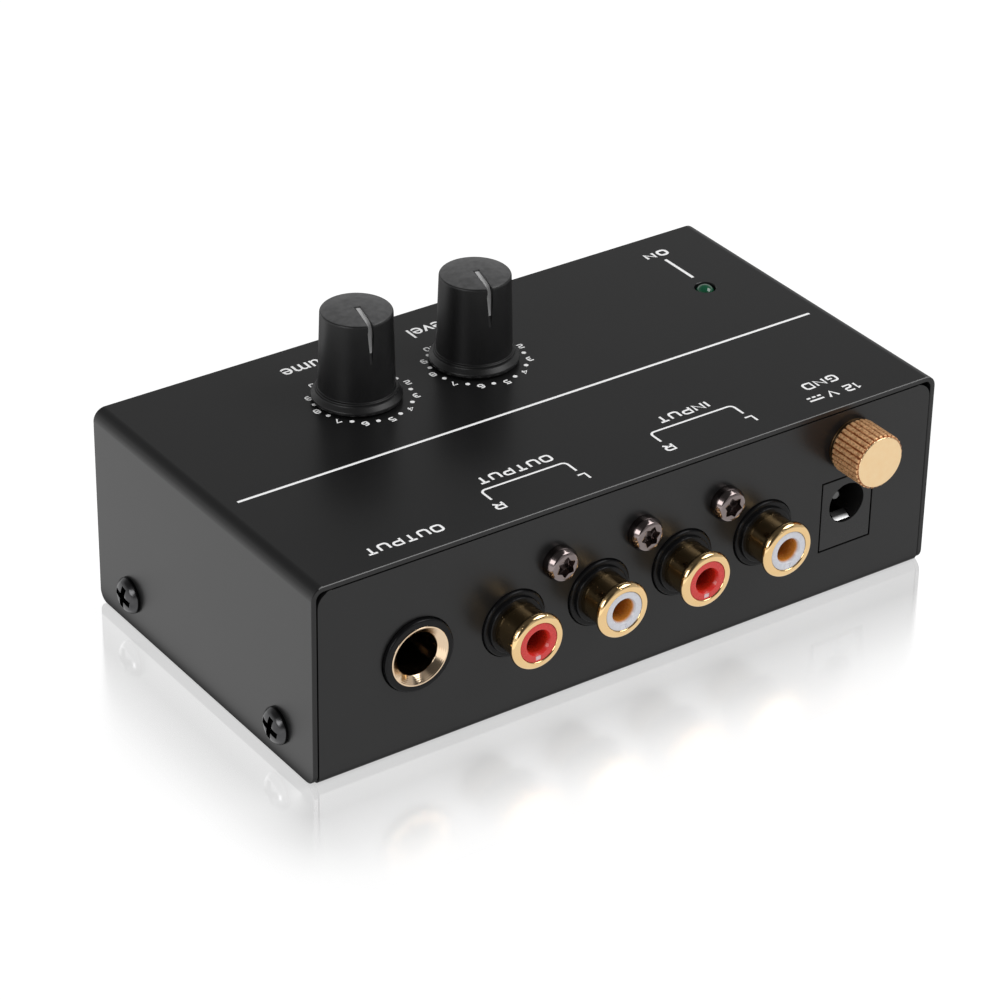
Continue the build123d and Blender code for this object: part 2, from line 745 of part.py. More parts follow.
# ---------------------------------------------------------------- knobs and potentiometers
def knob_pointer_cut():
    """Groove from the knob's centre over its edge and down its side, along +Y before it is turned."""
    edge_z = knob_height - knob_dome
    floor_y = knob_top_radius - pointer_depth
    end_z = edge_z - pointer_length
    end_y = knob_radius_at(end_z)
    side = [
        (pointer_start, 2 * knob_height),
        (pointer_start, knob_height - pointer_start_depth),
        (floor_y, edge_z - pointer_depth / 2),
        (end_y, end_z),
        (2 * skirt_radius, end_z),
        (2 * skirt_radius, 2 * knob_height),
    ]
    wedge = extrude(Plane.YZ * make_face(Polyline(*side, close=True)), pointer_width, both=True)
    face = [
        (-pointer_width / 2, 2 * knob_height),
        (-pointer_width / 2, edge_z - pointer_depth),
        (-pointer_tip_width / 2, end_z),
        (pointer_tip_width / 2, end_z),
        (pointer_width / 2, edge_z - pointer_depth),
        (pointer_width / 2, 2 * knob_height),
    ]
    front = extrude(Plane.XZ * make_face(Polyline(*face, close=True)), 2 * skirt_radius, both=True)
    return Rot(0, 0, -pointer_angle) * (wedge & front)


def knob_radius_at(height):
    """Radius of a knob's tapered body at a height over its base."""
    share = height / (knob_height - knob_dome)
    return knob_base_radius + (knob_top_radius - knob_base_radius) * share


def knob(x):
    """Tapered knob with a skirt, a domed top, a pointer groove and a socket for the shaft."""
    edge_z = knob_height - knob_dome
    ring_z = skirt_lip + skirt_height
    skirt = turned([
        (0, 0),
        (skirt_radius, 0),
        (skirt_radius, skirt_lip),
        (skirt_ring_radius, ring_z - skirt_ring_height),
        (skirt_ring_radius, ring_z),
        (0, ring_z),
    ])
    cone = turned([(0, 0), (knob_base_radius, 0), (knob_top_radius, edge_z), (0, edge_z)])
    cone = fillet(cone.edges().group_by(Axis.Z)[-1], knob_edge)
    cap = knob_top_radius - knob_edge
    ball = (cap**2 + knob_dome**2) / (2 * knob_dome)
    dome = Pos(0, 0, knob_height - ball) * Sphere(ball) & disc(cap, edge_z - knob_dome, 2 * knob_height)
    body = skirt + cone + dome
    body -= knob_pointer_cut()
    body -= disc(knob_hollow_radius, -knob_float, knob_hollow_depth)
    body += disc(shaft_radius + knob_hub_wall, knob_hub_recess, knob_hollow_depth)
    body -= disc(shaft_radius + pressed, -knob_float, knob_socket_depth)
    return Pos(x, knob_y, knob_base) * body


def pot_shaft(x):
    """Round shaft from inside the potentiometer up into the knob."""
    low = board_top + pot_floor + running
    return post(x, knob_y, shaft_radius, low, knob_base + knob_socket_depth)


def pot_body(x):
    """Moulded potentiometer body with a well for the shaft."""
    sides = (x - pot_width / 2, x + pot_width / 2)
    body = block(sides, (pot_front, pot_back), (board_top, board_top + pot_height))
    body = chamfer(body.edges().filter_by(Axis.Z), pot_corner)
    return body - post(x, knob_y, shaft_radius + running, board_top + pot_floor, case_height)


def pot_bushing(x):
    """Metal cover plate and bearing of a potentiometer."""
    low = board_top + pot_height
    sides = (x - pot_width / 2, x + pot_width / 2)
    plate = block(sides, (pot_front, pot_back), (low, low + bushing_plate))
    plate = chamfer(plate.edges().filter_by(Axis.Z), pot_corner)
    body = plate + post(x, knob_y, pot_bushing_radius, low, low + pot_bushing_height)
    return body - post(x, knob_y, shaft_radius + running, 0, case_height)


def pot_pin_points(x):
    """Where a potentiometer's three terminals pass through the board."""
    return [(x + i * pot_pin_pitch, knob_y - pot_pin_offset) for i in (-1, 0, 1)]


def lead(point, top):
    """Soldered wire from under the board up to a height."""
    return post(point[0], point[1], lead_radius, board_bottom - lead_tail, top)


# ---------------------------------------------------------------- power lamp
def power_lamp():
    """Round lamp whose dome stands in the lid's hole."""
    dome_z = lamp_length - lamp_radius
    body = disc(lamp_radius, 0, dome_z) + Pos(0, 0, dome_z) * Sphere(lamp_radius)
    body += disc(lamp_flange, 0, lamp_flange_height)
    return Pos(lamp_x, lamp_y, lamp_base) * body


def lamp_lead_points():
    """Where the lamp's two leads pass through the board."""
    return [(lamp_x + side * lamp_lead_spacing / 2, lamp_y) for side in (-1, 1)]


def power_lamp_spacer():
    """Black tube that holds the lamp at its height."""
    body = post(lamp_x, lamp_y, spacer_radius, board_top, lamp_base)
    for x, y in lamp_lead_points():
        body -= post(x, y, lead_radius + pressed, 0, case_height)
    return body


# ---------------------------------------------------------------- electronics
def chip_lead_points():
    """Where the leads of the two dual in-line chips pass through the board."""
    return [
        (x + side * chip_row_spacing / 2, y + (i - 1.5) * chip_lead_pitch)
        for x, y in chip_centres
        for side in (-1, 1)
        for i in range(4)
    ]


def chips():
    """Two moulded chips with a notch at one end."""
    low = board_top + chip_lift
    bodies = []
    for x, y in chip_centres:
        end = y - chip_length / 2
        sides = (x - chip_width / 2, x + chip_width / 2)
        body = block(sides, (end, end + chip_length), (low, low + chip_height))
        body = chamfer(body.edges().group_by(Axis.Z)[-1], 0.25 * chip_height)
        bodies.append(body - post(x, end, chip_notch, low + chip_height - chip_notch_depth, case_height))
    return bodies


def chip_leads():
    """Bent leads, eight to a chip."""
    bend_z = board_top + chip_lift + chip_height / 2
    leads = []
    for index, (x, y) in enumerate(chip_lead_points()):
        side = 1 if (index // 4) % 2 else -1
        body_x = x - side * (chip_row_spacing - chip_width) / 2
        arm_x = sorted((body_x, x + side * lead_radius))
        arm = block(arm_x, (y - chip_lead_half, y + chip_lead_half), (bend_z - chip_lead_thickness, bend_z))
        leads.append(arm + lead((x, y), bend_z))
    return leads


def pair_points(centre, spacing):
    """Two lead positions either side of a part's centre, along X."""
    return [(centre[0] + side * spacing / 2, centre[1]) for side in (-1, 1)]


def cans():
    """Electrolytic capacitors with a rolled groove near the base."""
    solids = []
    for x, y in can_centres:
        can = disc(can_radius, 0, can_height)
        can = fillet(can.edges(), can_round)
        can -= disc(2 * can_radius, *can_groove) - disc(can_radius - can_groove_depth, *can_groove)
        can = Pos(x, y, board_top) * can
        for point in pair_points((x, y), can_lead_spacing):
            can += lead(point, board_top + lead_root)
        solids.append(can)
    return solids


def films():
    """Box film capacitors."""
    solids = []
    for x, y in film_centres:
        box = block(
            (x - film_length / 2, x + film_length / 2),
            (y - film_width / 2, y + film_width / 2),
            (board_top, board_top + film_height),
        )
        box = chamfer(box.edges().filter_by(Axis.Z), film_chamfer)
        for point in pair_points((x, y), film_lead_spacing):
            box += lead(point, board_top + lead_root)
        solids.append(box)
    return solids


def axial_part(centre, radius, length):
    """Body that lies on the board with its wire bent down at both ends."""
    x, y = centre
    axis_z = board_top + axial_lift + radius
    across = Pos(x, y, axis_z) * Rot(0, 90, 0)
    body = fillet(disc(radius, -length / 2, length / 2).edges(), 0.4 * radius)
    solid = across * (body + disc(lead_radius, -axial_lead_spacing / 2, axial_lead_spacing / 2))
    for point in pair_points(centre, axial_lead_spacing):
        solid += lead(point, axis_z) + Pos(point[0], point[1], axis_z) * Sphere(lead_radius)
    return solid


def regulator():
    """Flat-sided regulator on three leads."""
    x, y = regulator_centre
    low = board_top + regulator_lift
    body = post(x, y, regulator_radius, low, low + regulator_height)
    sides = (x - regulator_radius, x + regulator_radius)
    body -= block(sides, (y - regulator_radius, y - regulator_flat), (0, case_height))
    for point in regulator_points():
        body += lead(point, low + lead_root)
    return body


def regulator_points():
    """Where the regulator's three leads pass through the board."""
    x, y = regulator_centre
    return [(x + i * regulator_lead_spacing, y) for i in (-1, 0, 1)]


def round_holes():
    """Every place where a round lead passes through the board."""
    points = lamp_lead_points() + chip_lead_points() + regulator_points()
    for x in knob_xs.values():
        points += pot_pin_points(x)
    for centre in can_centres:
        points += pair_points(centre, can_lead_spacing)
    for centre in film_centres:
        points += pair_points(centre, film_lead_spacing)
    for centre in resistor_centres + [diode_centre]:
        points += pair_points(centre, axial_lead_spacing)
    return points


def flat_holes():
    """Centre and half sizes of every slot in the board for a flat tail."""
    slots = [(inlet_x, rear_y - inlet_depth - tail_half, inlet_tail_half, tail_half)]
    slots.append((inlet_x, rear_y - inlet_leaf_end, inlet_spring_width / 2, tail_half))
    for x in phono_xs:
        slots.append((x, housing_back - tail_half, shell_tail_half, tail_half))
        slots.append((x, housing_back - contact_neck - tail_half, contact_tail_half, tail_half))
    for name, side in jack_leaf_sides.items():
        depth, distance = jack_leaf_points(name)[-1]
        slots.append((jack_x + side * distance, rear_y - depth, spring_thickness / 2, tail_half))
    return slots


def circuit_board():
    """Board with its mounting holes and a hole for every lead."""
    z = (board_bottom, board_top)
    board = block((-board_half, board_half), (board_front, board_rear), z)
    board = fillet(board.edges().filter_by(Axis.Z), 1.0)
    cutters = [post(x, y, lead_radius + pressed, 0, case_height) for x, y in round_holes()]
    cutters += [post(x, y, board_screw_radius + passing, 0, case_height) for x, y in post_spots]
    cutters.append(post(ground_wire_x, ground_wire_y, ground_wire_radius + pressed, 0, case_height))
    for x, y, half_x, half_y in flat_holes():
        half_x += pressed
        half_y += pressed
        cutters.append(block((x - half_x, x + half_x), (y - half_y, y + half_y), (0, case_height)))
    return board - cutters


# ---------------------------------------------------------------- build
os.makedirs("parts", exist_ok=True)
write("top_cover", top_cover())
write("chassis", chassis())
write("cover_screws", cover_screws())
write("board_standoffs", board_standoffs())
write("board_screws", board_screws())
write("phono_housing", phono_housing())
for name, x in zip(phono_names, phono_xs):
    write(f"{name}_shell", on_rear(x, phono_z, phono_shell()))
    write(f"{name}_insert", on_rear(x, phono_z, phono_insert()))
    write(f"{name}_contact", on_rear(x, phono_z, phono_contact()))
write("panel_screws", panel_screws())
write("output_jack_housing", output_jack_housing())
write("output_jack_bushing", output_jack_bushing())
for name in jack_leaf_mouths:
    write(f"output_jack_{name}_spring", jack_leaf(name))
write("dc_inlet_housing", dc_inlet_housing())
write("dc_inlet_pin", dc_inlet_pin())
write("dc_inlet_spring", dc_inlet_spring())
write("ground_stud", ground_stud())
write("ground_washer", ground_washer())
write("ground_thumb_nut", ground_thumb_nut())
write("ground_lug", ground_lug())
write("ground_hex_nut", ground_hex_nut())
write("ground_wire", ground_wire())
for name, x in knob_xs.items():
    write(f"{name}_knob", knob(x))
    write(f"{name}_shaft", pot_shaft(x))
    write(f"{name}_pot_body", pot_body(x))
    write(f"{name}_pot_bushing", pot_bushing(x))
    write(f"{name}_pot_terminals", [lead(point, board_top) for point in pot_pin_points(x)])
write("power_lamp", power_lamp())
write("power_lamp_leads", [lead(point, lamp_base) for point in lamp_lead_points()])
write("power_lamp_spacer", power_lamp_spacer())
write("circuit_board", circuit_board())
write("op_amps", chips())
write("op_amp_leads", chip_leads())
write("electrolytic_capacitors", cans())
write("film_capacitors", films())
write("resistors", [axial_part(centre, axial_radius, axial_length) for centre in resistor_centres])
write("supply_diode", axial_part(diode_centre, diode_radius, diode_length))
write("voltage_regulator", regulator())
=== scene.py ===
import logging
import math
from contextlib import contextmanager
from dataclasses import dataclass
from enum import Enum
from typing import Any, Callable, ClassVar, Iterator, Optional, Sequence, Union

import bpy
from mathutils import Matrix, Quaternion, Vector


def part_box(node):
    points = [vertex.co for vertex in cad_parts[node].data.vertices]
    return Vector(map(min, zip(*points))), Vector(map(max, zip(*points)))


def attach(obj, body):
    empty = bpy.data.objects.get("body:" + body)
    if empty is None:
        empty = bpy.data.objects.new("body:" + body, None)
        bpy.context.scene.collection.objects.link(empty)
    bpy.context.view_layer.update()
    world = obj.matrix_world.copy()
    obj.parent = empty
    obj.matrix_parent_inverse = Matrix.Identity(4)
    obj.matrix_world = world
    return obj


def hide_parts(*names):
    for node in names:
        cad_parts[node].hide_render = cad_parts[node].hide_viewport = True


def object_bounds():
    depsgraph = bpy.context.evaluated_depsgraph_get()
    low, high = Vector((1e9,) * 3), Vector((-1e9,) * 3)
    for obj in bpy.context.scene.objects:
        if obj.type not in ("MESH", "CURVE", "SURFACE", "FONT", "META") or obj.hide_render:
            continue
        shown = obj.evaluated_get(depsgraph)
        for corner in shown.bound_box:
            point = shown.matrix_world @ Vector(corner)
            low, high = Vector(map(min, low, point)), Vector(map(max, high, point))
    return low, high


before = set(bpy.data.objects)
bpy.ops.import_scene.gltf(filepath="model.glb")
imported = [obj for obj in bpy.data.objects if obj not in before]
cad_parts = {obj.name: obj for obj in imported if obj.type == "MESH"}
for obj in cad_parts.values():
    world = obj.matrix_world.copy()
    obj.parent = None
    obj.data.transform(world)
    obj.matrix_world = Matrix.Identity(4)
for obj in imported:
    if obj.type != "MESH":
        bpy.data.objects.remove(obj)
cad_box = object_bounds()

# Looks of a bench-top phono preamp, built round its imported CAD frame. Sizes are written as
# millimetres times MM, so that they reach Blender in metres. +Z is up, the rear panel with its
# sockets faces +Y, and the user sits on the -Y side.

MM = 0.001
SAME_POINT = 0.0005 * MM  # points closer than this are merged
FIT = 0.02 * MM  # gap between two pieces pressed together
INK_HEIGHT = 0.012 * MM  # ink over the paint
SMOOTH_ANGLE = 40.0  # bevelled edges that turn by fewer degrees are shaded smooth

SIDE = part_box("top_cover")[1].x
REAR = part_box("top_cover")[1].y
LID_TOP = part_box("top_cover")[1].z
TRAY_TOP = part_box("chassis")[1].z

log = logging.getLogger("preamp")

Object = bpy.types.Object
Colour = tuple[float, float, float]
Point2 = tuple[float, float]
RISE: tuple[Point2, ...] = ((0.0, 0.0), (1.0, 1.0))  # stops of a plain ramp


# ---------------------------------------------------------------- shader graphs
def operator(operation: str, swapped: bool = False) -> Callable[["Signal", "Number"], "Signal"]:
    """Make one of the operators of a signal.

    Args:
        operation: the Math node's operation.
        swapped: whether the other value comes first.

    Returns:
        A method that adds the Math node.
    """

    def result(self: "Signal", other: "Number") -> "Signal":
        """The Math node's output."""
        first, second = (other, self) if swapped else (self, other)
        return self.graph.maths(operation, first, second)

    return result


class Signal:
    """An output socket whose arithmetic in Python adds Math nodes."""

    def __init__(self, graph: "Graph", socket: Optional[bpy.types.NodeSocket]) -> None:
        """Wrap a socket.

        Args:
            graph: the graph that the socket belongs to.
            socket: the output socket, or None for a node that has none.
        """
        self.graph = graph
        self.socket = socket

    def __abs__(self) -> "Signal":
        """Size without its sign."""
        return self.graph.maths("ABSOLUTE", self, 0.0)

    __add__ = __radd__ = operator("ADD")
    __mul__ = __rmul__ = operator("MULTIPLY")
    __sub__ = operator("SUBTRACT")
    __rsub__ = operator("SUBTRACT", swapped=True)
    __truediv__ = operator("DIVIDE")
    __pow__ = operator("POWER")
    __lt__ = operator("LESS_THAN")
    __gt__ = operator("GREATER_THAN")


Number = Union[float, Signal]


class Graph:
    """Node graph of a material or of the world."""

    def __init__(self, tree: bpy.types.NodeTree) -> None:
        """Empty a node tree and build in it.

        Args:
            tree: the tree of a material or a world.
        """
        tree.nodes.clear()
        self.tree = tree

    def node(
        self,
        kind: str,
        settings: Optional[dict[str, Any]] = None,
        sockets: Optional[dict[Any, Any]] = None,
        output: Union[int, str] = 0,
    ) -> Signal:
        """Add one node.

        Args:
            kind: the node's type.
            settings: the node's own settings.
            sockets: values or signals, by the name or number of the input; one number is a grey.
            output: which output to return.

        Returns:
            The chosen output.
        """
        node = self.tree.nodes.new(kind)
        for name, setting in (settings or {}).items():
            setattr(node, name, setting)
        for name, value in (sockets or {}).items():
            socket = node.inputs[name]
            if isinstance(value, Signal):
                self.tree.links.new(value.socket, socket)
            elif socket.type == "RGBA":
                colour = value if isinstance(value, tuple) else (value,) * 3
                socket.default_value = (*colour, 1.0)
            else:
                socket.default_value = value
        return Signal(self, node.outputs[output] if len(node.outputs) else None)

    def maths(self, operation: str, first: Number, second: Number) -> Signal:
        """Add one Math node with two inputs."""
        return self.node("ShaderNodeMath", {"operation": operation}, {0: first, 1: second})

    def ray(self, fact: str) -> Signal:
        """What the light path tells of a ray, such as Is Camera Ray."""
        return self.node("ShaderNodeLightPath", output=fact)

    def place(self) -> Signal:
        """Object coordinates, which are the frame's own metres."""
        return self.node("ShaderNodeTexCoord", output="Object")

    def axes(self) -> tuple[Signal, Signal, Signal]:
        """The three object coordinates apart."""
        place = self.place()
        return tuple(self.node("ShaderNodeSeparateXYZ", None, {0: place}, output=i) for i in range(3))

    def radius(self, centre: Point2) -> Signal:
        """Distance from an axis along Y that passes through an x and a z."""
        x, _, z = self.axes()
        return ((x - centre[0]) ** 2.0 + (z - centre[1]) ** 2.0) ** 0.5

    def noise(self, size: float, detail: float = 2.0) -> Signal:
        """Soft noise from 0 to 1.

        Args:
            size: width of one patch in metres.
            detail: how many finer layers it has.

        Returns:
            The noise's level.
        """
        sockets = {"Vector": self.place(), "Scale": 1.0 / size, "Detail": detail}
        return self.node("ShaderNodeTexNoise", None, sockets)

    def mix(self, factor: Number, first: Any, second: Any) -> Signal:
        """Mix two colours.

        Args:
            factor: 0 for the first colour and 1 for the second.
            first: a colour, a grey level or a signal.
            second: the same.

        Returns:
            The mixed colour.
        """
        # inputs 6 and 7 and output 2 are the colour sockets of a Mix node
        return self.node("ShaderNodeMix", {"data_type": "RGBA"}, {0: factor, 6: first, 7: second}, output=2)

    def ramp(self, value: Signal, stops: Sequence[Point2] = RISE, smooth: bool = False) -> Signal:
        """Map a value through grey stops.

        Args:
            value: what to map.
            stops: position and level of each stop.
            smooth: whether the level eases from stop to stop.

        Returns:
            The level.
        """
        level = self.node("ShaderNodeValToRGB", None, {0: value})
        ramp = level.socket.node.color_ramp
        ramp.interpolation = "EASE" if smooth else "LINEAR"
        while len(ramp.elements) < len(stops):
            ramp.elements.new(1.0)
        for element, (position, grey) in zip(ramp.elements, stops):
            element.position = position
            element.color = (grey, grey, grey, 1.0)
        return level

    def bump(self, height: Signal, depth: float) -> Signal:
        """Surface relief.

        Args:
            height: relief from 0 to 1.
            depth: height of a full step in metres.

        Returns:
            The bent normal.
        """
        return self.node("ShaderNodeBump", None, {"Strength": 1.0, "Distance": depth, "Height": height})


# ---------------------------------------------------------------- finishes
@dataclass(frozen=True)
class Finish:
    """A surface finish.

    Attributes:
        name: the material's name.
        slot: the record's material slot that it stands for; nothing in this script reads it.
    """

    name: str
    slot: str

    def paint(self, graph: Graph) -> dict[str, Any]:
        """Values of the Principled shader's sockets."""
        raise NotImplementedError

    def material(self) -> bpy.types.Material:
        """The Blender material, made when it is first asked for."""
        found = bpy.data.materials.get(self.name)
        if found:
            return found
        material = bpy.data.materials.new(self.name)
        material.use_nodes = True
        graph = Graph(material.node_tree)
        shader = graph.node("ShaderNodeBsdfPrincipled", None, self.paint(graph))
        graph.node("ShaderNodeOutputMaterial", None, {"Surface": shader})
        return material

    def cover(self, piece: Object) -> None:
        """Make this the only finish of an object."""
        piece.data.materials.clear()
        piece.data.materials.append(self.material())


@dataclass(frozen=True)
class SatinPaint(Finish):
    """Sprayed paint with a fine orange-peel surface."""

    tone: Colour = (0.008, 0.008, 0.0082)
    dust: Colour = (0.011, 0.011, 0.0112)
    roughness: float = 0.26
    ior: float = 1.41
    peel: float = 0.22 * MM
    peel_depth: float = 0.0012 * MM
    cloud: float = 14 * MM
    drift: float = 0.06

    def paint(self, graph: Graph) -> dict[str, Any]:
        """Near-black paint whose gloss drifts a little."""
        cloud = graph.noise(self.cloud, 3.0)
        return {
            "Base Color": graph.mix(cloud, self.tone, self.dust),
            "IOR": self.ior,
            "Roughness": self.roughness + self.drift * cloud,
            "Normal": graph.bump(graph.noise(self.peel), self.peel_depth),
        }


@dataclass(frozen=True)
class EdgedPaint(SatinPaint):
    """Paint with a painted highlight, a paler line, on the broken edge between a top and the rear face.

    Attributes:
        top: z of the top face.
        edge: width of the broken edge.
        bare: the grey level of the painted highlight on the edge.
    """

    top: float = 0.0
    edge: float = 0.22 * MM
    bare: float = 0.12

    def paint(self, graph: Graph) -> dict[str, Any]:
        """Paint with its painted edge highlight."""
        sockets = super().paint(graph)
        _, y, z = graph.axes()
        down, ahead = self.top - z, REAR - y
        sliver, whole = 0.02 * self.edge, 1.1 * self.edge
        # painted highlight: the broken edge is coloured as a pale line, where the light catches it
        line = (down > sliver) * (ahead > sliver) * (down + ahead < whole)
        sockets["Base Color"] = graph.mix(line, sockets["Base Color"], self.bare)
        return sockets


@dataclass(frozen=True)
class Moulding(Finish):
    """Moulded plastic with a fine grain and a little mottling."""

    tone: Colour = (0.004, 0.004, 0.0045)
    pale: Colour = (0.007, 0.007, 0.0075)
    roughness: float = 0.26
    grain: float = 0.15 * MM
    grain_depth: float = 0.002 * MM
    mottle: float = 3.0 * MM
    specular: float = 0.25
    drift: float = 0.1

    def paint(self, graph: Graph) -> dict[str, Any]:
        """Plastic with its grain."""
        mottle = graph.noise(self.mottle, 4.0)
        return {
            "Base Color": graph.mix(mottle, self.tone, self.pale),
            "Specular IOR Level": self.specular,
            "Roughness": self.roughness + self.drift * (mottle - 0.5),
            "Normal": graph.bump(graph.noise(self.grain), self.grain_depth),
        }


@dataclass(frozen=True)
class KnobPlastic(Moulding):
    """Matte knob plastic, with painted light that makes its top paler.

    Attributes:
        rubbed: the top's colour, painted light.
        top: height over which it is pale.
        fade: height over which it pales.
        speckle: width of a speckle.
        least: share of the painted top light between the speckles.
    """

    rubbed: Colour = (0.085, 0.085, 0.086)
    top: float = 44.98 * MM
    fade: float = 0.16 * MM
    speckle: float = 0.8 * MM
    least: float = 0.35

    def paint(self, graph: Graph) -> dict[str, Any]:
        """Plastic with painted light that pales it towards the knob's top."""
        sockets = super().paint(graph)
        height = graph.axes()[2]
        band = [(0.0, 0.0), (0.3, 1.0), (1.0, 1.0)]
        # painted light: the top is coloured paler, as the light from above falls on it
        top_light = graph.ramp((height - (self.top - self.fade)) / self.fade, band)
        speckle = self.least + 1.0 * graph.noise(self.speckle, 5.0)
        sockets["Base Color"] = graph.mix(top_light * speckle, sockets["Base Color"], self.rubbed)
        return sockets


@dataclass(frozen=True)
class Plate(Finish):
    """Plated or uncoated metal with faint clouds in its polish."""

    colour: Colour = (0.9, 0.62, 0.28)
    deep: Colour = (0.78, 0.5, 0.2)
    roughness: float = 0.12
    smear: float = 1.6 * MM
    brush: float = 0.12 * MM
    brush_depth: float = 0.0004 * MM
    drift: float = 0.1

    def paint(self, graph: Graph) -> dict[str, Any]:
        """Metal with clouds and a fine brush."""
        smear = graph.noise(self.smear, 3.0)
        return {
            "Base Color": graph.mix(smear, self.colour, self.deep),
            "Metallic": 1.0,
            "Roughness": self.roughness + self.drift * (smear - 0.4),
            "Normal": graph.bump(graph.noise(self.brush), self.brush_depth),
        }


@dataclass(frozen=True)
class PittedPlate(Plate):
    """Bright plate with a few tiny pits."""

    pit: float = 0.9 * MM
    pit_depth: float = 0.03 * MM
    rarity: float = 0.16

    def paint(self, graph: Graph) -> dict[str, Any]:
        """Plate whose pits catch the light."""
        sockets = super().paint(graph)
        cells = graph.node("ShaderNodeTexVoronoi", None, {"Vector": graph.place(), "Scale": 1.0 / self.pit})
        pits = graph.ramp(cells, [(0.0, 0.0), (self.rarity, 1.0)], smooth=True)
        sockets["Normal"] = graph.bump(pits, self.pit_depth)
        return sockets


@dataclass(frozen=True)
class TurnedPlate(Plate):
    """Plate that shows the rings of a lathe tool round an axis along Y."""

    centre: Point2 = (0.0, 0.0)
    ring: float = 0.11 * MM
    ring_depth: float = 0.008 * MM

    def paint(self, graph: Graph) -> dict[str, Any]:
        """Plate with tool rings."""
        sockets = super().paint(graph)
        rings = graph.maths("PINGPONG", graph.radius(self.centre) / self.ring, 1.0)
        uneven = 0.4 + 0.6 * graph.noise(0.4 * MM)
        sockets["Normal"] = graph.bump(rings * uneven, self.ring_depth)
        return sockets


@dataclass(frozen=True)
class KnurledPlate(Plate):
    """Plate of a knurled nut on an axis along Y, with painted shade in its grooves and tarnished spots on
    its ridges.

    Attributes:
        centre: the nut's x and z.
        ridge: radius of the ridges.
        groove: depth of the grooves.
        ridges: the ridges' colour.
        tarnish: the colour of the painted shade at the grooves' bottom and of the tarnished spots.
        bloom: how much less metallic the knurled flank is.
        spot: width of a tarnished spot on a ridge.
        rough: roughness that the ridges add.
    """

    centre: Point2 = (0.0, 0.0)
    ridge: float = 4.15 * MM
    groove: float = 0.3 * MM
    ridges: Colour = (1.0, 0.6, 0.3)
    tarnish: Colour = (0.36, 0.12, 0.04)
    bloom: float = 0.42
    spot: float = 0.35 * MM
    rough: float = 0.15

    def paint(self, graph: Graph) -> dict[str, Any]:
        """Plate with painted shade that darkens it with the depth of a groove."""
        sockets = super().paint(graph)
        radius = graph.radius(self.centre)
        # painted shade: the colour darkens towards the bottom of each groove
        depth = graph.ramp((self.ridge - radius) / self.groove, [(0.15, 0.0), (1.0, 1.0)])
        # the flat front face lies inside the ridges' foot and stays bright
        flank = radius > (self.ridge - self.groove - FIT)
        spots = graph.ramp(graph.noise(self.spot, 4.0), [(0.42, 0.0), (0.7, 0.75)])
        sides = graph.mix(depth + spots, self.ridges, self.tarnish)
        sockets["Base Color"] = graph.mix(flank, sockets["Base Color"], sides)
        sockets["Metallic"] = 1.0 - self.bloom * flank
        sockets["Roughness"] = sockets["Roughness"] + self.rough * flank
        return sockets


@dataclass(frozen=True)
class DeepPlate(Plate):
    """Plate with painted shade that dims it with its depth behind the rear panel.

    Attributes:
        bright: depth down to which it stays bright.
        fade: depth over which it dims.
        dim: the grey level of the painted shade deep inside.
    """

    bright: float = 0.45 * MM
    fade: float = 0.9 * MM
    dim: float = 0.02

    def paint(self, graph: Graph) -> dict[str, Any]:
        """Plate with painted shade at its far end."""
        sockets = super().paint(graph)
        # painted shade: the colour darkens with the depth inside the inlet's bore
        depth = (REAR - graph.axes()[1] - self.bright) / self.fade
        sockets["Base Color"] = graph.mix(graph.ramp(depth), sockets["Base Color"], self.dim)
        return sockets


@dataclass(frozen=True)
class Insulator(Finish):
    """Coloured plastic of a phono socket, with painted shade down its hole that a painted reflection of the
    gold contact warms on the white ones.

    Attributes:
        colour: the ring's colour.
        throat: the colour of the painted shade inside the hole.
        key: the colour of the key notch's floor.
        centre: the socket's x and z.
        face: the front face's y.
        funnel: depth of the mouth's funnel.
        notch_half: half the width of the key notch.
        notch_top: how far under the centre the notch starts.
        notch_bottom: how far under the centre it ends.
        notch_depth: depth behind the face from which its floor is pale.
    """

    colour: Colour = (0.75, 0.05, 0.05)
    throat: Colour = (0.5, 0.012, 0.008)
    key: Colour = (0.75, 0.45, 0.45)
    centre: Point2 = (0.0, 0.0)
    face: float = 0.0
    funnel: float = 0.6 * MM
    notch_half: float = 0.45 * MM
    notch_top: float = 2.05 * MM
    notch_bottom: float = 2.75 * MM
    notch_depth: float = 0.05 * MM

    def paint(self, graph: Graph) -> dict[str, Any]:
        """Plastic with painted shade down its hole and a pale key."""
        x, y, z = graph.axes()
        depth = self.face - y
        # painted shade: the colour darkens down the hole
        inside = graph.ramp(depth / self.funnel, [(0.25, 0.0), (1.0, 1.0)], smooth=True)
        colour = graph.mix(inside, self.colour, self.throat)
        drop = self.centre[1] - z
        below = (drop > self.notch_top) * (drop < self.notch_bottom)
        notch = (abs(x - self.centre[0]) < self.notch_half) * below * (depth > self.notch_depth)
        near_face = depth < self.funnel
        return {
            "Base Color": graph.mix(notch * near_face, colour, self.key),
            "Roughness": 0.22 + 0.1 * graph.noise(0.7 * MM),
            "Coat Weight": 0.3,
            "Normal": graph.bump(graph.noise(0.3 * MM), 0.002 * MM),
        }


@dataclass(frozen=True)
class Lens(Finish):
    """Dark clear green plastic of a lamp that is off."""

    colour: Colour = (0.003, 0.045, 0.02)
    core: Colour = (0.008, 0.09, 0.042)

    def paint(self, graph: Graph) -> dict[str, Any]:
        """Glossy green with a paler core."""
        cloud = graph.noise(1.1 * MM)
        return {
            "Base Color": graph.mix(cloud, self.colour, self.core),
            "Roughness": 0.06 + 0.05 * cloud,
            "Coat Weight": 0.6,
        }


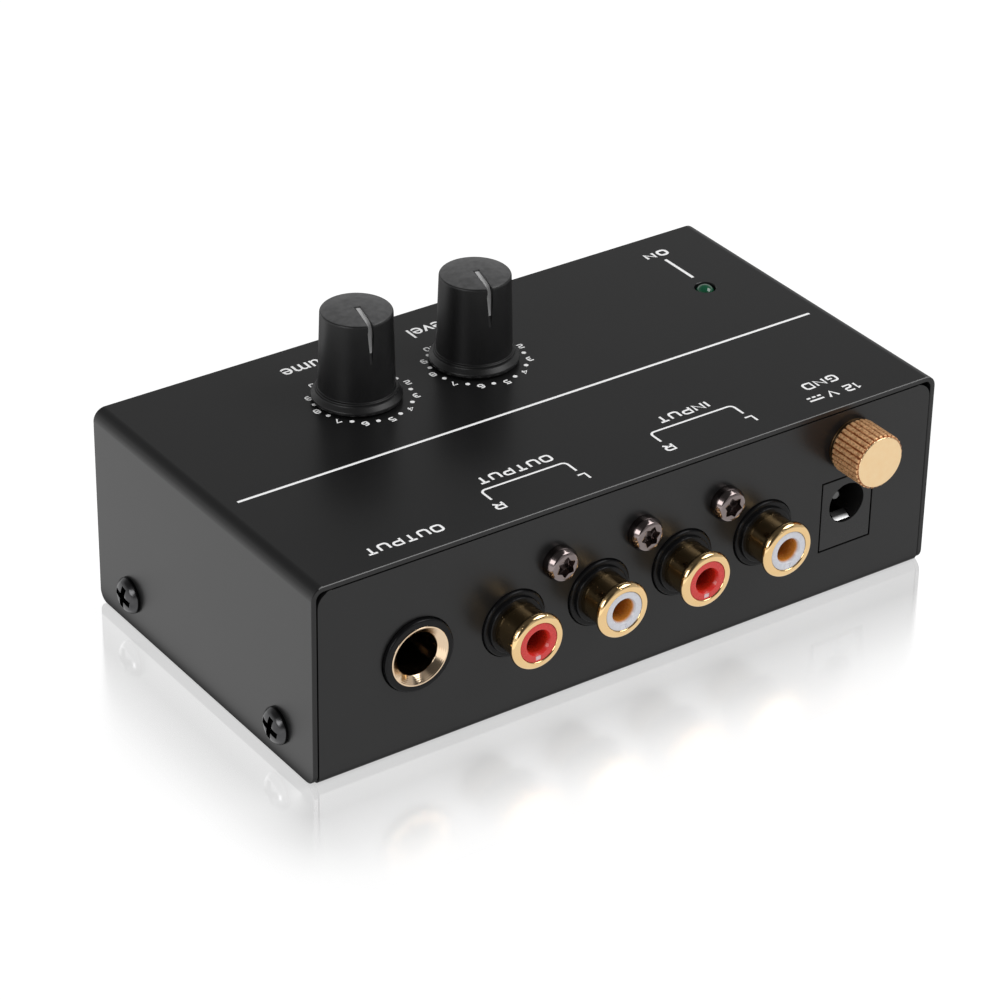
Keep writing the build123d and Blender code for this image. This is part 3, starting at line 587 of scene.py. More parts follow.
@dataclass(frozen=True)
class Ink(Finish):
    """Screen-printed ink, thinner in places."""

    colour: Colour = (0.97, 0.97, 0.97)
    thin: Colour = (0.92, 0.92, 0.92)

    def paint(self, graph: Graph) -> dict[str, Any]:
        """Ink over the paint's texture."""
        mesh = graph.noise(0.12 * MM, 1.0)
        return {
            "Base Color": graph.mix(mesh * graph.noise(2.0 * MM), self.colour, self.thin),
            "Roughness": 0.5 + 0.1 * mesh,
            "Normal": graph.bump(mesh, 0.001 * MM),
        }


@dataclass(frozen=True)
class Laminate(Finish):
    """Solder resist over a board, with tracks that show through.

    Attributes:
        colour: the resist's colour.
        track: its colour over a track.
        pitch: distance between two tracks.
        width: width of a track, as a share of the pitch.
        route: width of a field whose tracks run one way.
        relief: height of a track.
    """

    colour: Colour = (0.008, 0.12, 0.045)
    track: Colour = (0.02, 0.22, 0.09)
    pitch: float = 1.27 * MM
    width: float = 0.25
    route: float = 9 * MM
    relief: float = 0.03 * MM

    def paint(self, graph: Graph) -> dict[str, Any]:
        """Resist with paler tracks on a grid."""
        x, y, _ = graph.axes()
        along = graph.maths("PINGPONG", x / self.pitch, 1.0) < self.width
        across = graph.maths("PINGPONG", y / self.pitch, 1.0) < self.width
        routed = graph.noise(self.route, 1.0) > 0.5
        tracks = along * routed + across * (1.0 - routed)
        return {
            "Base Color": graph.mix(tracks, self.colour, self.track),
            "Roughness": 0.3 + 0.1 * graph.noise(3 * MM),
            "Normal": graph.bump(tracks, self.relief),
        }


@dataclass(frozen=True)
class Banded(Finish):
    """Lacquered body with coloured bands across X, repeated at a pitch.

    Attributes:
        coat: colour of the lacquer.
        bands: colour of the bands.
        first: x of one part's centre.
        pitch: distance between parts along X.
        spots: places of the bands from a part's centre.
        half: half the width of a band.
    """

    coat: Colour = (0.16, 0.36, 0.5)
    bands: Colour = (0.45, 0.2, 0.05)
    first: float = 0.0
    pitch: float = 13.0 * MM
    spots: tuple[float, ...] = (-2.2 * MM, -1.2 * MM, -0.2 * MM, 2.0 * MM)
    half: float = 0.25 * MM

    def paint(self, graph: Graph) -> dict[str, Any]:
        """Lacquer with its bands."""
        x = graph.axes()[0]
        span = {0: x - self.first, 1: self.pitch / 2, 2: -self.pitch / 2}
        local = graph.node("ShaderNodeMath", {"operation": "WRAP"}, span)
        band: Number = 0.0
        for spot in self.spots:
            band = (abs(local - spot) < self.half) + band
        return {
            "Base Color": graph.mix(band, self.coat, self.bands),
            "Roughness": 0.25 + 0.1 * graph.noise(0.6 * MM),
            "Coat Weight": 0.4,
        }


INK = Ink("legend_white", "case_paint")
BLACK_MOULDING = Moulding("socket_moulding", "black_moulding", specular=0.16)
INLET_MOULDING = Moulding(
    "inlet_moulding",
    "black_moulding",
    (0.0075, 0.0075, 0.0077),
    (0.0105, 0.0105, 0.0107),
    0.28,
    specular=0.42,
)
PART_MOULDING = Moulding("chip_moulding", "black_moulding", roughness=0.5)
BLACK_SCREW = Plate(
    "screw_black",
    "dark_screw",
    (0.09, 0.09, 0.092),
    (0.04, 0.04, 0.042),
    0.2,
    0.9 * MM,
    0.2 * MM,
    0.002 * MM,
)
DARK_NICKEL = Plate("screw_dark_nickel", "dark_screw", (0.31, 0.26, 0.255), (0.2, 0.165, 0.16), 0.15)
ZINC = Plate("zinc_plate", "zinc_steel", (0.6, 0.6, 0.58), (0.45, 0.45, 0.42), 0.28)
GOLD = PittedPlate("socket_gold", "gold_plate", (0.96, 0.69, 0.37), (0.92, 0.62, 0.29), 0.09)
CONTACT = Plate("contact_plate", "contact_metal", (0.85, 0.62, 0.32), (0.7, 0.48, 0.22), 0.25)
BRIGHT_SPRING = Plate("spring_plate", "contact_metal", (0.9, 0.89, 0.87), (0.8, 0.79, 0.77), 0.3)
# painted shade: the pin's metal is coloured near black, for the shade of the dark bore round it
SHADED_INLET_PIN = Plate("inlet_pin_plate", "contact_metal", (0.16, 0.16, 0.16), (0.1, 0.1, 0.1), 0.1)
# painted shade: the washer and the stud are coloured dark, for the shade behind the thumb nut
SHADED_BRASS = Plate("terminal_brass_plate", "terminal_brass", (0.3, 0.19, 0.1), (0.2, 0.12, 0.06), 0.34)
TINNED = Plate("tinned_wire", "tinned_metal", (0.72, 0.72, 0.7), (0.55, 0.55, 0.53), 0.3)
SHAFT = Plate("shaft_metal", "shaft_metal", (0.68, 0.68, 0.68), (0.5, 0.5, 0.5), 0.25)
KNOB = KnobPlastic(
    "knob_matte_black",
    "knob_plastic",
    (0.0035, 0.0035, 0.0038),
    (0.0075, 0.0075, 0.0078),
    0.4,
    0.25 * MM,
    specular=0.45,
)
POINTER = Ink("pointer_grey", "knob_plastic", (0.5, 0.5, 0.5), (0.34, 0.34, 0.34))
LENS = Lens("lamp_green", "green_lens")
WIRE = Moulding("wire_sleeve_green", "wire_sleeve", (0.015, 0.15, 0.05), (0.02, 0.2, 0.07), 0.35)
BOARD = Laminate("board_resist", "board_laminate")
SLEEVE = Moulding("capacitor_sleeve", "capacitor_sleeve", (0.012, 0.012, 0.03), (0.02, 0.02, 0.05), 0.25)
FILM = Moulding("film_box_red", "film_box", (0.35, 0.05, 0.03), (0.45, 0.08, 0.05), 0.3)
RESISTOR = Banded("resistor_blue", "resistor_coat", first=-24.0 * MM)
DIODE = Banded(
    "diode_black", "diode_body", (0.015, 0.015, 0.016), (0.6, 0.6, 0.6), -35.9 * MM, 200 * MM, (1.7 * MM,)
)


# ---------------------------------------------------------------- the bench: selecting, turning, cutting
class Body(Enum):
    """Bodies of the frame that pieces ride on."""

    CASE = "root"
    VOLUME = "volume_control"
    LEVEL = "level_control"
    CLAMP = "ground_clamp"
    NUT = "ground_nut"


class Facing(Enum):
    """Ways that a piece modelled along +Z can face, as the turns about X, Y and Z that get it there."""

    UP = (0.0, 0.0, 0.0)
    REAR = (-math.pi / 2, 0.0, 0.0)
    RIGHT = (0.0, math.pi / 2, 0.0)
    LEFT = (0.0, -math.pi / 2, 0.0)


def select_only(*pieces: Object) -> None:
    """Select these objects alone, and make the first the active one."""
    bpy.ops.object.select_all(action="DESELECT")
    for piece in pieces:
        piece.select_set(True)
    if pieces:
        bpy.context.view_layer.objects.active = pieces[0]


@contextmanager
def editing(piece: Object, whole: bool = False) -> Iterator[None]:
    """Work on a piece in edit mode.

    Args:
        piece: the mesh object.
        whole: whether all of it is selected first.
    """
    select_only(piece)
    bpy.ops.object.mode_set(mode="EDIT")
    bpy.ops.mesh.select_mode(type="VERT")
    if whole:
        bpy.ops.mesh.select_all(action="SELECT")
    yield
    bpy.ops.object.mode_set(mode="OBJECT")


def merge_points() -> None:
    """Select all in edit mode and merge the points that coincide."""
    bpy.ops.mesh.select_all(action="SELECT")
    bpy.ops.mesh.remove_doubles(threshold=SAME_POINT)


def face_outwards() -> None:
    """Select all in edit mode and turn the faces outwards."""
    bpy.ops.mesh.select_all(action="SELECT")
    bpy.ops.mesh.normals_make_consistent(inside=False)


def extrude(step: Sequence[float]) -> None:
    """Extrude what is selected in edit mode by a step."""
    bpy.ops.mesh.extrude_region_move(TRANSFORM_OT_translate={"value": step})


def choose(piece: Object, test: Callable[[Vector], bool]) -> None:
    """Select the vertices whose place passes a test, and nothing else."""
    mesh = piece.data
    for group in (mesh.polygons, mesh.edges):
        group.foreach_set("select", [False] * len(group))
    mesh.vertices.foreach_set("select", [test(vertex.co) for vertex in mesh.vertices])


def narrow(piece: Object, test: Callable[[Vector], bool], across: float, deep: float) -> None:
    """Scale the vertices that pass a test about the Z axis.

    Args:
        piece: the mesh object.
        test: whether a vertex is scaled.
        across: scale along X.
        deep: scale along Y.
    """
    choose(piece, test)
    with editing(piece):
        bpy.ops.transform.resize(value=(across, deep, 1.0), center_override=(0.0, 0.0, 0.0))


def seat(piece: Object, centre: Sequence[float], facing: Facing = Facing.UP) -> Object:
    """Stand a piece that was modelled along +Z at its place, with the place in its mesh."""
    select_only(piece)
    piece.location = centre
    piece.rotation_euler = facing.value
    bpy.ops.object.transform_apply()
    return piece


def spun(piece: Object, degrees: float) -> Object:
    """Turn a piece about the Z axis, with the turn in its mesh."""
    select_only(piece)
    piece.rotation_euler = (0.0, 0.0, math.radians(degrees))
    bpy.ops.object.transform_apply()
    return piece


def apply_modifier(piece: Object, kind: str, **settings: Any) -> None:
    """Add a modifier with its settings and apply it."""
    modifier = piece.modifiers.new(kind.lower(), kind)
    for name, setting in settings.items():
        setattr(modifier, name, setting)
    select_only(piece)
    bpy.ops.object.modifier_apply(modifier=modifier.name)


def cut(piece: Object, *cutters: Object) -> Object:
    """Take each cutter's shape away from a piece, and remove the cutter."""
    for cutter in cutters:
        apply_modifier(piece, "BOOLEAN", operation="DIFFERENCE", solver="EXACT", object=cutter)
        bpy.data.objects.remove(cutter)
    return piece


def join(piece: Object, *others: Object) -> Object:
    """Make several objects one."""
    select_only(piece, *others)
    bpy.ops.object.join()
    return piece


def in_scene(name: str, data: bpy.types.ID) -> Object:
    """New object in the scene, round its data."""
    piece = bpy.data.objects.new(name, data)
    bpy.context.scene.collection.objects.link(piece)
    return piece


def copied(piece: Object) -> Object:
    """Copy of a piece with a mesh of its own."""
    return in_scene(piece.name, piece.data.copy())


def soften(piece: Object, width: float = 0.0, angle: float = 35.0, segments: int = 2) -> Object:
    """Bevel the hard edges, smooth the rest and keep flat faces flat.

    Args:
        piece: the mesh object.
        width: width of the bevel; none is cut where it is 0.
        angle: edges that turn by more degrees than this are hard.
        segments: steps of each bevel.

    Returns:
        The same piece.
    """
    if width:
        bevel = {"width": width, "segments": segments, "angle_limit": math.radians(angle)}
        apply_modifier(piece, "BEVEL", limit_method="ANGLE", **bevel)
    select_only(piece)
    bpy.ops.object.shade_smooth_by_angle(angle=math.radians(SMOOTH_ANGLE if width else angle))
    apply_modifier(piece, "WEIGHTED_NORMAL", keep_sharp=True)
    return piece


@dataclass(frozen=True)
class Corner:
    """A corner of an outline in the plane of an axis.

    Attributes:
        radius: distance from the axis, or the first coordinate.
        height: place along the axis, or the second coordinate.
        round: radius of the arc that replaces the corner.
    """

    radius: float
    height: float
    round: float = 0.0


def rounded(corners: Sequence[Corner], closed: bool = False, step: float = 15.0) -> list[Vector]:
    """Points of an outline, with an arc at each rounded corner.

    Args:
        corners: the outline's corners in order.
        closed: whether the last corner joins the first.
        step: turn between two points of an arc, in degrees.

    Returns:
        The points, two coordinates each.
    """
    places = [Vector((corner.radius, corner.height)) for corner in corners]
    points: list[Vector] = []
    for i, corner in enumerate(corners):
        here = places[i]
        inner = closed or 0 < i < len(corners) - 1
        if not corner.round or not inner:
            points.append(here)
            continue
        back = (places[i - 1] - here).normalized()
        ahead = (places[(i + 1) % len(places)] - here).normalized()
        opening = back.angle(ahead)
        turn = math.pi - opening
        centre = here + (back + ahead).normalized() * (corner.round / math.sin(opening / 2))
        start = here + back * (corner.round / math.tan(opening / 2)) - centre
        end = here + ahead * (corner.round / math.tan(opening / 2)) - centre
        steps = max(2, math.ceil(math.degrees(turn) / step))
        for k in range(steps + 1):
            share = k / steps
            first = math.sin((1 - share) * turn) / math.sin(turn)
            points.append(centre + start * first + end * (math.sin(share * turn) / math.sin(turn)))
    return points


def chain(points: Sequence[Vector], closed: bool = False) -> Object:
    """Line of edges in the XZ plane, drawn by extruding one vertex from point to point."""
    select_only()
    bpy.ops.mesh.primitive_plane_add(size=MM)
    piece = bpy.context.object
    route = [*points, points[0]] if closed else list(points)
    with editing(piece):
        bpy.ops.mesh.merge(type="CENTER")
        bpy.ops.transform.translate(value=(route[0].x, 0.0, route[0].y))
        for here, there in zip(route, route[1:]):
            step = there - here
            extrude((step.x, 0.0, step.y))
        merge_points()
    return piece


def turned(corners: Sequence[Corner], ring: bool = False, segments: int = 96) -> Object:
    """Turn an outline round +Z, as on a lathe.

    Args:
        corners: the outline; its ends lie on the axis unless it is a ring.
        ring: whether the outline is closed and stands clear of the axis.
        segments: faces round the axis.

    Returns:
        The turned mesh, still at the origin.
    """
    piece = chain(rounded(corners, closed=ring), closed=ring)
    with editing(piece, whole=True):
        bpy.ops.mesh.spin(steps=segments, angle=2 * math.pi, center=(0, 0, 0), axis=(0, 0, 1))
        merge_points()
        face_outwards()
    return piece


def prism(points: Sequence[Vector], depth: float) -> Object:
    """Solid from a closed outline in the XZ plane, as thick as depth and centred on Y = 0."""
    piece = chain(points, closed=True)
    with editing(piece, whole=True):
        bpy.ops.transform.translate(value=(0.0, -depth / 2, 0.0))
        bpy.ops.mesh.edge_face_add()
        extrude((0.0, depth, 0.0))
        face_outwards()
    return piece


def slab(low: Sequence[float], high: Sequence[float]) -> Object:
    """Box between two corners, used as a cutter or a tail."""
    select_only()
    centre = [(a + b) / 2 for a, b in zip(low, high)]
    bpy.ops.mesh.primitive_cube_add(size=1.0, location=centre, scale=[b - a for a, b in zip(low, high)])
    bpy.ops.object.transform_apply()
    return bpy.context.object


def refined(node: str, edge: float, segments: int = 2) -> Object:
    """Copy a CAD node with its triangles merged into clean faces and its edges broken.

    Args:
        node: name of the CAD node.
        edge: width of the broken edge.
        segments: steps of the broken edge.

    Returns:
        The copy.
    """
    piece = copied(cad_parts[node])
    with editing(piece):
        merge_points()
        bpy.ops.mesh.dissolve_limited(angle_limit=math.radians(0.4))
        bpy.ops.mesh.customdata_custom_splitnormals_clear()
    return soften(piece, edge, segments=segments)


def dress(
    piece: Object,
    name: str,
    finish: Finish,
    body: Body = Body.CASE,
    replaces: Sequence[str] = (),
) -> None:
    """Name a finished piece, give it its finish and let it ride.

    Args:
        piece: the finished mesh object.
        name: its name.
        finish: its finish.
        body: the body that it moves with.
        replaces: CAD nodes that it stands for.
    """
    piece.name = name
    piece.data.name = name
    finish.cover(piece)
    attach(piece, body.value)
    if replaces:
        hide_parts(*replaces)
    log.info("%s: %d faces, rides on %s", name, len(piece.data.polygons), body.value)


def dress_copy(
    node: str,
    name: str,
    finish: Finish,
    edge: float,
    body: Body = Body.CASE,
    segments: int = 2,
) -> None:
    """Put a clean copy of a CAD node with broken edges in the node's stead."""
    dress(refined(node, edge, segments), name, finish, body, [node])


def dress_nodes(finish: Finish, *nodes: str) -> None:
    """Give CAD nodes that stay in the scene their finish."""
    for node in nodes:
        finish.cover(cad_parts[node])
        log.info("%s: CAD node with %s", node, finish.name)


def middle(node: str) -> Vector:
    """Centre of a CAD node's box."""
    low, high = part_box(node)
    return (low + high) / 2


@dataclass(frozen=True)
class ScrewBlank:
    """Screw as it is before its recess is pressed.

    Attributes:
        radius: the head's radius.
        height: the head's height.
        shank_radius: the shank's radius.
        shank: the shank's length.
        tip: rounding of the shank's end.
        outline: corners of the head, as shares of its radius and height, with their roundings.
    """

    radius: float
    height: float
    shank_radius: float
    shank: float
    tip: float
    outline: tuple[tuple[float, float, float], ...]

    def turn(self) -> Object:
        """Turn the blank, with its head's underside at the origin."""
        return turned([
            Corner(0.0, -self.shank),
            Corner(self.shank_radius, -self.shank, self.tip),
            Corner(self.shank_radius, 0.0),
            *(Corner(out * self.radius, up * self.height, bend) for out, up, bend in self.outline),
            Corner(0.0, self.height),
        ])


# ---------------------------------------------------------------- case
@dataclass
class Case:
    """Lid and tray of folded steel, with the screws that join them."""

    edge: float = 0.22 * MM
    blank: ScrewBlank = ScrewBlank(
        radius=2.7 * MM,
        height=1.4 * MM,
        shank_radius=1.5 * MM,
        shank=3.75 * MM,
        tip=0.25 * MM,
        outline=(
            (1.0, 0.0, 0.08 * MM),
            (1.0, 0.3, 0.2 * MM),
            (0.78, 0.85, 1.0 * MM),
            (0.45, 1.0, 1.2 * MM),
        ),
    )
    recess_arm: float = 2.05 * MM
    recess_width: float = 1.15 * MM
    recess_depth: float = 1.15 * MM
    recess_turn: float = -14.0
    recess_taper: float = 0.8
    screw_spacing: float = 39.0 * MM
    screw_height: float = 5.2 * MM
    # grey levels of the painted highlight on the rear edges of the lid and the tray
    lid_bare: float = 0.12
    tray_bare: float = 0.07

    def build(self) -> None:
        """Make the lid, the tray and the four side screws."""
        for node, name, top, bare in (
            ("top_cover", "lid", LID_TOP, self.lid_bare),
            ("chassis", "tray", TRAY_TOP, self.tray_bare),
        ):
            paint = EdgedPaint(f"{name}_satin_black", "case_paint", top=top, edge=self.edge, bare=bare)
            dress_copy(node, name, paint, self.edge, segments=1)
        self.side_screws()

    def side_screw(self) -> Object:
        """One low domed screw with a cross recess."""
        half = self.recess_width / 2
        top = self.blank.height
        arms = []
        for length, width in ((self.recess_arm, half), (half, self.recess_arm)):
            arm = slab((-length, -width, top - self.recess_depth), (length, width, 2 * top))
            narrow(arm, lambda place: place.z < top, self.recess_taper, self.recess_taper)
            arms.append(spun(arm, self.recess_turn))
        return soften(cut(self.blank.turn(), *arms), 0.06 * MM)

    def side_screws(self) -> None:
        """Two screws through each side of the lid."""
        screw = self.side_screw()
        screws = []
        for side, facing in ((1, Facing.RIGHT), (-1, Facing.LEFT)):
            for y in (-self.screw_spacing / 2, self.screw_spacing / 2):
                screws.append(seat(copied(screw), (side * SIDE, y, self.screw_height), facing))
        bpy.data.objects.remove(screw)
        dress(join(*screws), "side_screws", BLACK_SCREW, replaces=["cover_screws"])


# ---------------------------------------------------------------- lettering
@dataclass(frozen=True)
class Glyph:
    """A character drawn with a round-cornered pen in a box one unit high.

    Attributes:
        width: the box's width.
        strokes: pen lines; a third value of 1 rounds that corner.
    """

    width: float
    strokes: tuple[tuple[tuple[float, ...], ...], ...]


BOX = ((0.5, 0), (1, 0, 1), (1, 1, 1), (0, 1, 1), (0, 0, 1), (0.5, 0))
GLYPHS = {
    "O": Glyph(0.78, (BOX,)),
    "0": Glyph(0.6, (BOX,)),
    "D": Glyph(0.74, (((0.5, 0), (1, 0, 1), (1, 1, 1), (0, 1), (0, 0), (0.5, 0)),)),
    "U": Glyph(0.76, (((0, 1), (0, 0, 1), (1, 0, 1), (1, 1)),)),
    "T": Glyph(0.72, (((0, 1), (1, 1)), ((0.5, 1), (0.5, 0)))),
    "P": Glyph(0.72, (((0, 0), (0, 1), (1, 1, 1), (1, 0.38, 1), (0, 0.38)),)),
    "R": Glyph(0.72, (((0, 0), (0, 1), (1, 1, 1), (1, 0.4, 1), (0, 0.4)), ((0.45, 0.4), (1, 0)))),
    "N": Glyph(0.76, (((0, 0), (0, 1), (1, 0), (1, 1)),)),
    "I": Glyph(0.0, (((0, 0), (0, 1)),)),
    "G": Glyph(0.76, (((1, 1), (0, 1, 1), (0, 0, 1), (1, 0, 1), (1, 0.5), (0.5, 0.5)),)),
    "L": Glyph(0.62, (((0, 1), (0, 0), (1, 0)),)),
    "V": Glyph(0.8, (((0, 1), (0.5, 0), (1, 1)),)),
    "1": Glyph(0.22, (((0, 0.8), (1, 1), (1, 0)),)),
    "2": Glyph(0.66, (((0, 1), (1, 1, 1), (1, 0.5, 1), (0, 0.45, 1), (0, 0), (1, 0)),)),
    "3": Glyph(0.6, (((0, 1), (1, 1, 1), (1, 0, 1), (0, 0)), ((0.3, 0.52), (1, 0.52)))),
    "4": Glyph(0.66, (((0.75, 0), (0.75, 1), (0, 0.3), (1, 0.3)),)),
    "5": Glyph(0.6, (((1, 1), (0, 1), (0, 0.58), (1, 0.58, 1), (1, 0, 1), (0, 0)),)),
    "6": Glyph(0.6, (((0.9, 1), (0, 1, 1), (0, 0, 1), (1, 0, 1), (1, 0.56, 1), (0, 0.56)),)),
    "7": Glyph(0.6, (((0, 1), (1, 1), (0.35, 0)),)),
    "8": Glyph(0.6, (BOX, ((0, 0.52), (1, 0.52)))),
    "9": Glyph(0.6, (((0.1, 0), (1, 0, 1), (1, 1, 1), (0, 1, 1), (0, 0.44, 1), (1, 0.44)),)),
    " ": Glyph(0.3, ()),
}


@dataclass(frozen=True)
class Pen:
    """Draws lines of ink on the lid.

    Attributes:
        line: the ink's width.
        corner: radius of a rounded corner.
    """

    line: float
    corner: float

    def stroke(self, corners: Sequence[Corner]) -> Object:
        """One flat line of ink on the lid, with square ends.

        Args:
            corners: its route in x and y.

        Returns:
            A thin mesh.
        """
        points = rounded(corners, step=22.5)
        curve = bpy.data.curves.new("ink", "CURVE")
        curve.dimensions = "3D"
        curve.bevel_depth = self.line / 2
        curve.bevel_resolution = 1
        curve.use_fill_caps = True
        spline = curve.splines.new("POLY")
        spline.points.add(len(points) - 1)
        for spot, point in zip(spline.points, points):
            spot.co = (point.x, point.y, 0.0, 1.0)
        select_only(in_scene("ink", curve))
        bpy.ops.object.convert(target="MESH")
        piece = bpy.context.object
        piece.scale = (1.0, 1.0, 2 * INK_HEIGHT / self.line)
        return seat(piece, (0.0, 0.0, LID_TOP))

    def word(self, text: str, centre: Point2, height: float, gap: float) -> list[Object]:
        """Write a word that reads along +X.

        Args:
            text: the characters.
            centre: the word's centre.
            height: the capitals' height over all.
            gap: space between two characters' ink.

        Returns:
            The strokes.
        """
        rise = height - self.line
        widths = [GLYPHS[letter].width * height for letter in text]
        total = sum(widths) + (len(text) - 1) * (gap + self.line)
        left = centre[0] - total / 2
        low = centre[1] - rise / 2
        strokes = []
        for letter, width in zip(text, widths):
            for line in GLYPHS[letter].strokes:
                corners = [
                    Corner(left + p[0] * width, low + p[1] * rise, self.corner if len(p) > 2 else 0.0)
                    for p in line
                ]
                strokes.append(self.stroke(corners))
            left += width + gap + self.line
        return strokes


@dataclass
class Legend:
    """Words, brackets and lines printed on the lid."""

    height: float = 1.85 * MM
    letter_gap: float = 0.34 * MM
    letters: Pen = Pen(0.39 * MM, 0.42 * MM)
    frames: Pen = Pen(0.38 * MM, 0.75 * MM)
    lamp_letters: Pen = Pen(0.5 * MM, 0.5 * MM)
    rule: Pen = Pen(0.5 * MM, 0.0)
    lamp_rule: Pen = Pen(0.54 * MM, 0.0)
    frame_bar: ClassVar[float] = 19.5
    frame_foot: ClassVar[float] = 22.2
    frame_word: ClassVar[float] = 17.3
    frame_letter: ClassVar[float] = 24.05
    supply_ends: ClassVar[Point2] = (-34.95, -32.5)
    supply_bar: ClassVar[float] = 24.75
    supply_dashes: ClassVar[float] = 23.95
    dash: ClassVar[float] = 0.6
    dash_gap: ClassVar[float] = 0.32

    def word(self, text: str, x: float, y: float, name: str, pen: Optional[Pen] = None) -> None:
        """Print one word, with its centre in millimetres."""
        strokes = (pen or self.letters).word(text, (x * MM, y * MM), self.height, self.letter_gap)
        dress(join(*strokes), name, INK)

    def line(self, pen: Pen, corners: Sequence[tuple[float, ...]], name: str) -> None:
        """Print one line through corners in millimetres; a third value rounds the corner."""
        route = [Corner(c[0] * MM, c[1] * MM, pen.corner if len(c) > 2 else 0.0) for c in corners]
        dress(pen.stroke(route), name, INK)

    def pair(self, left: float, right: float, word: str, centre: float, name: str) -> None:
        """Bracket over a left and a right socket, with its word and letters.

        Args:
            left: x of the left channel's leg.
            right: x of the right channel's leg.
            word: what the pair is.
            centre: x of the word.
            name: name of the group.
        """
        bar, foot = self.frame_bar, self.frame_foot
        corners = [(left, foot), (left, bar, 1), (right, bar, 1), (right, foot)]
        self.line(self.frames, corners, f"{name}_bracket")
        self.word(word, centre, self.frame_word, f"{name}_word")
        self.word("L", left + 0.05, self.frame_letter, f"{name}_left")
        self.word("R", right, self.frame_letter, f"{name}_right")

    def supply(self) -> None:
        """Voltage with its direct-current sign."""
        self.word("12", -40.1, 24.55, "supply_figures")
        self.word("V", -36.6, 24.55, "supply_unit")
        left, right = self.supply_ends
        self.line(self.letters, [(left, self.supply_bar), (right, self.supply_bar)], "supply_bar")
        dashes = []
        for i in range(3):
            start = left + i * (self.dash + self.dash_gap)
            ends = (start, start + self.dash)
            dashes.append(self.letters.stroke([Corner(x * MM, self.supply_dashes * MM) for x in ends]))
        dress(join(*dashes), "supply_dashes", INK)

    def build(self) -> None:
        """Print everything but the dials."""
        self.line(self.rule, [(-48.8, 4.1), (48.8, 4.1)], "long_rule")
        self.line(self.lamp_rule, [(-41.4, -21.0), (-41.4, -14.15)], "lamp_rule")
        self.word("ON", -41.25, -23.1, "lamp_word", self.lamp_letters)
        self.word("GND", -37.15, 21.1, "ground_word")
        self.supply()
        self.pair(-22.6, -8.3, "INPUT", -15.7, "input")
        self.pair(6.05, 20.05, "OUTPUT", 12.9, "output")
        self.word("OUTPUT", 35.5, 24.3, "jack_word")


@dataclass
class Dial:
    """Printed scale from 0 to 10 round a knob, with its name below it."""

    name: str
    centre: Point2
    figure_height: float = 1.22 * MM
    figure_radius: float = 7.55 * MM
    dot_radius: float = 7.1 * MM
    dot_size: float = 0.34 * MM
    word_line: float = -23.6 * MM
    word_size: float = 3.75 * MM
    word_weight: float = 0.02 * MM
    pen: Pen = Pen(0.27 * MM, 0.26 * MM)
    digit_gap: float = 0.2 * MM
    sink: float = 0.005 * MM
    step: float = 30.0
    middle_figure: ClassVar[int] = 5
    last_figure: ClassVar[int] = 10

    def spot(self, figure: float, radius: float) -> Point2:
        """Place of a figure or dot; figures grow clockwise, with 5 away from the user."""
        turn = math.radians(self.step * (figure - self.middle_figure))
        return self.centre[0] + radius * math.sin(turn), self.centre[1] + radius * math.cos(turn)

    def dot(self) -> Object:
        """One round dot of ink, at the origin."""
        return turned([
            Corner(0.0, -self.sink),
            Corner(self.dot_size, -self.sink),
            Corner(self.dot_size, INK_HEIGHT, 0.005 * MM),
            Corner(0.0, INK_HEIGHT),
        ], segments=20)

    def build(self) -> None:
        """Print the figures, the dots halfway between them and the name."""
        dot = self.dot()
        ink = []
        for figure in range(self.last_figure + 1):
            spot = self.spot(figure, self.figure_radius)
            ink += self.pen.word(str(figure), spot, self.figure_height, self.digit_gap)
            if figure:
                place = self.spot(figure - 0.5, self.dot_radius)
                ink.append(seat(copied(dot), (*place, LID_TOP)))
        bpy.data.objects.remove(dot)
        dress(join(*ink), f"{self.name.lower()}_scale", INK)
        self.title()

    def title(self) -> None:
        """The knob's name in plain upright letters."""
        select_only()
        bpy.ops.object.text_add()
        text = bpy.context.object
        text.data.body = self.name
        text.data.size = self.word_size
        text.data.align_x = "CENTER"
        text.data.extrude = INK_HEIGHT
        text.data.offset = self.word_weight
        bpy.ops.object.convert(target="MESH")
        title = seat(bpy.context.object, (self.centre[0], self.word_line, LID_TOP))
        dress(title, f"{self.name.lower()}_title", INK)


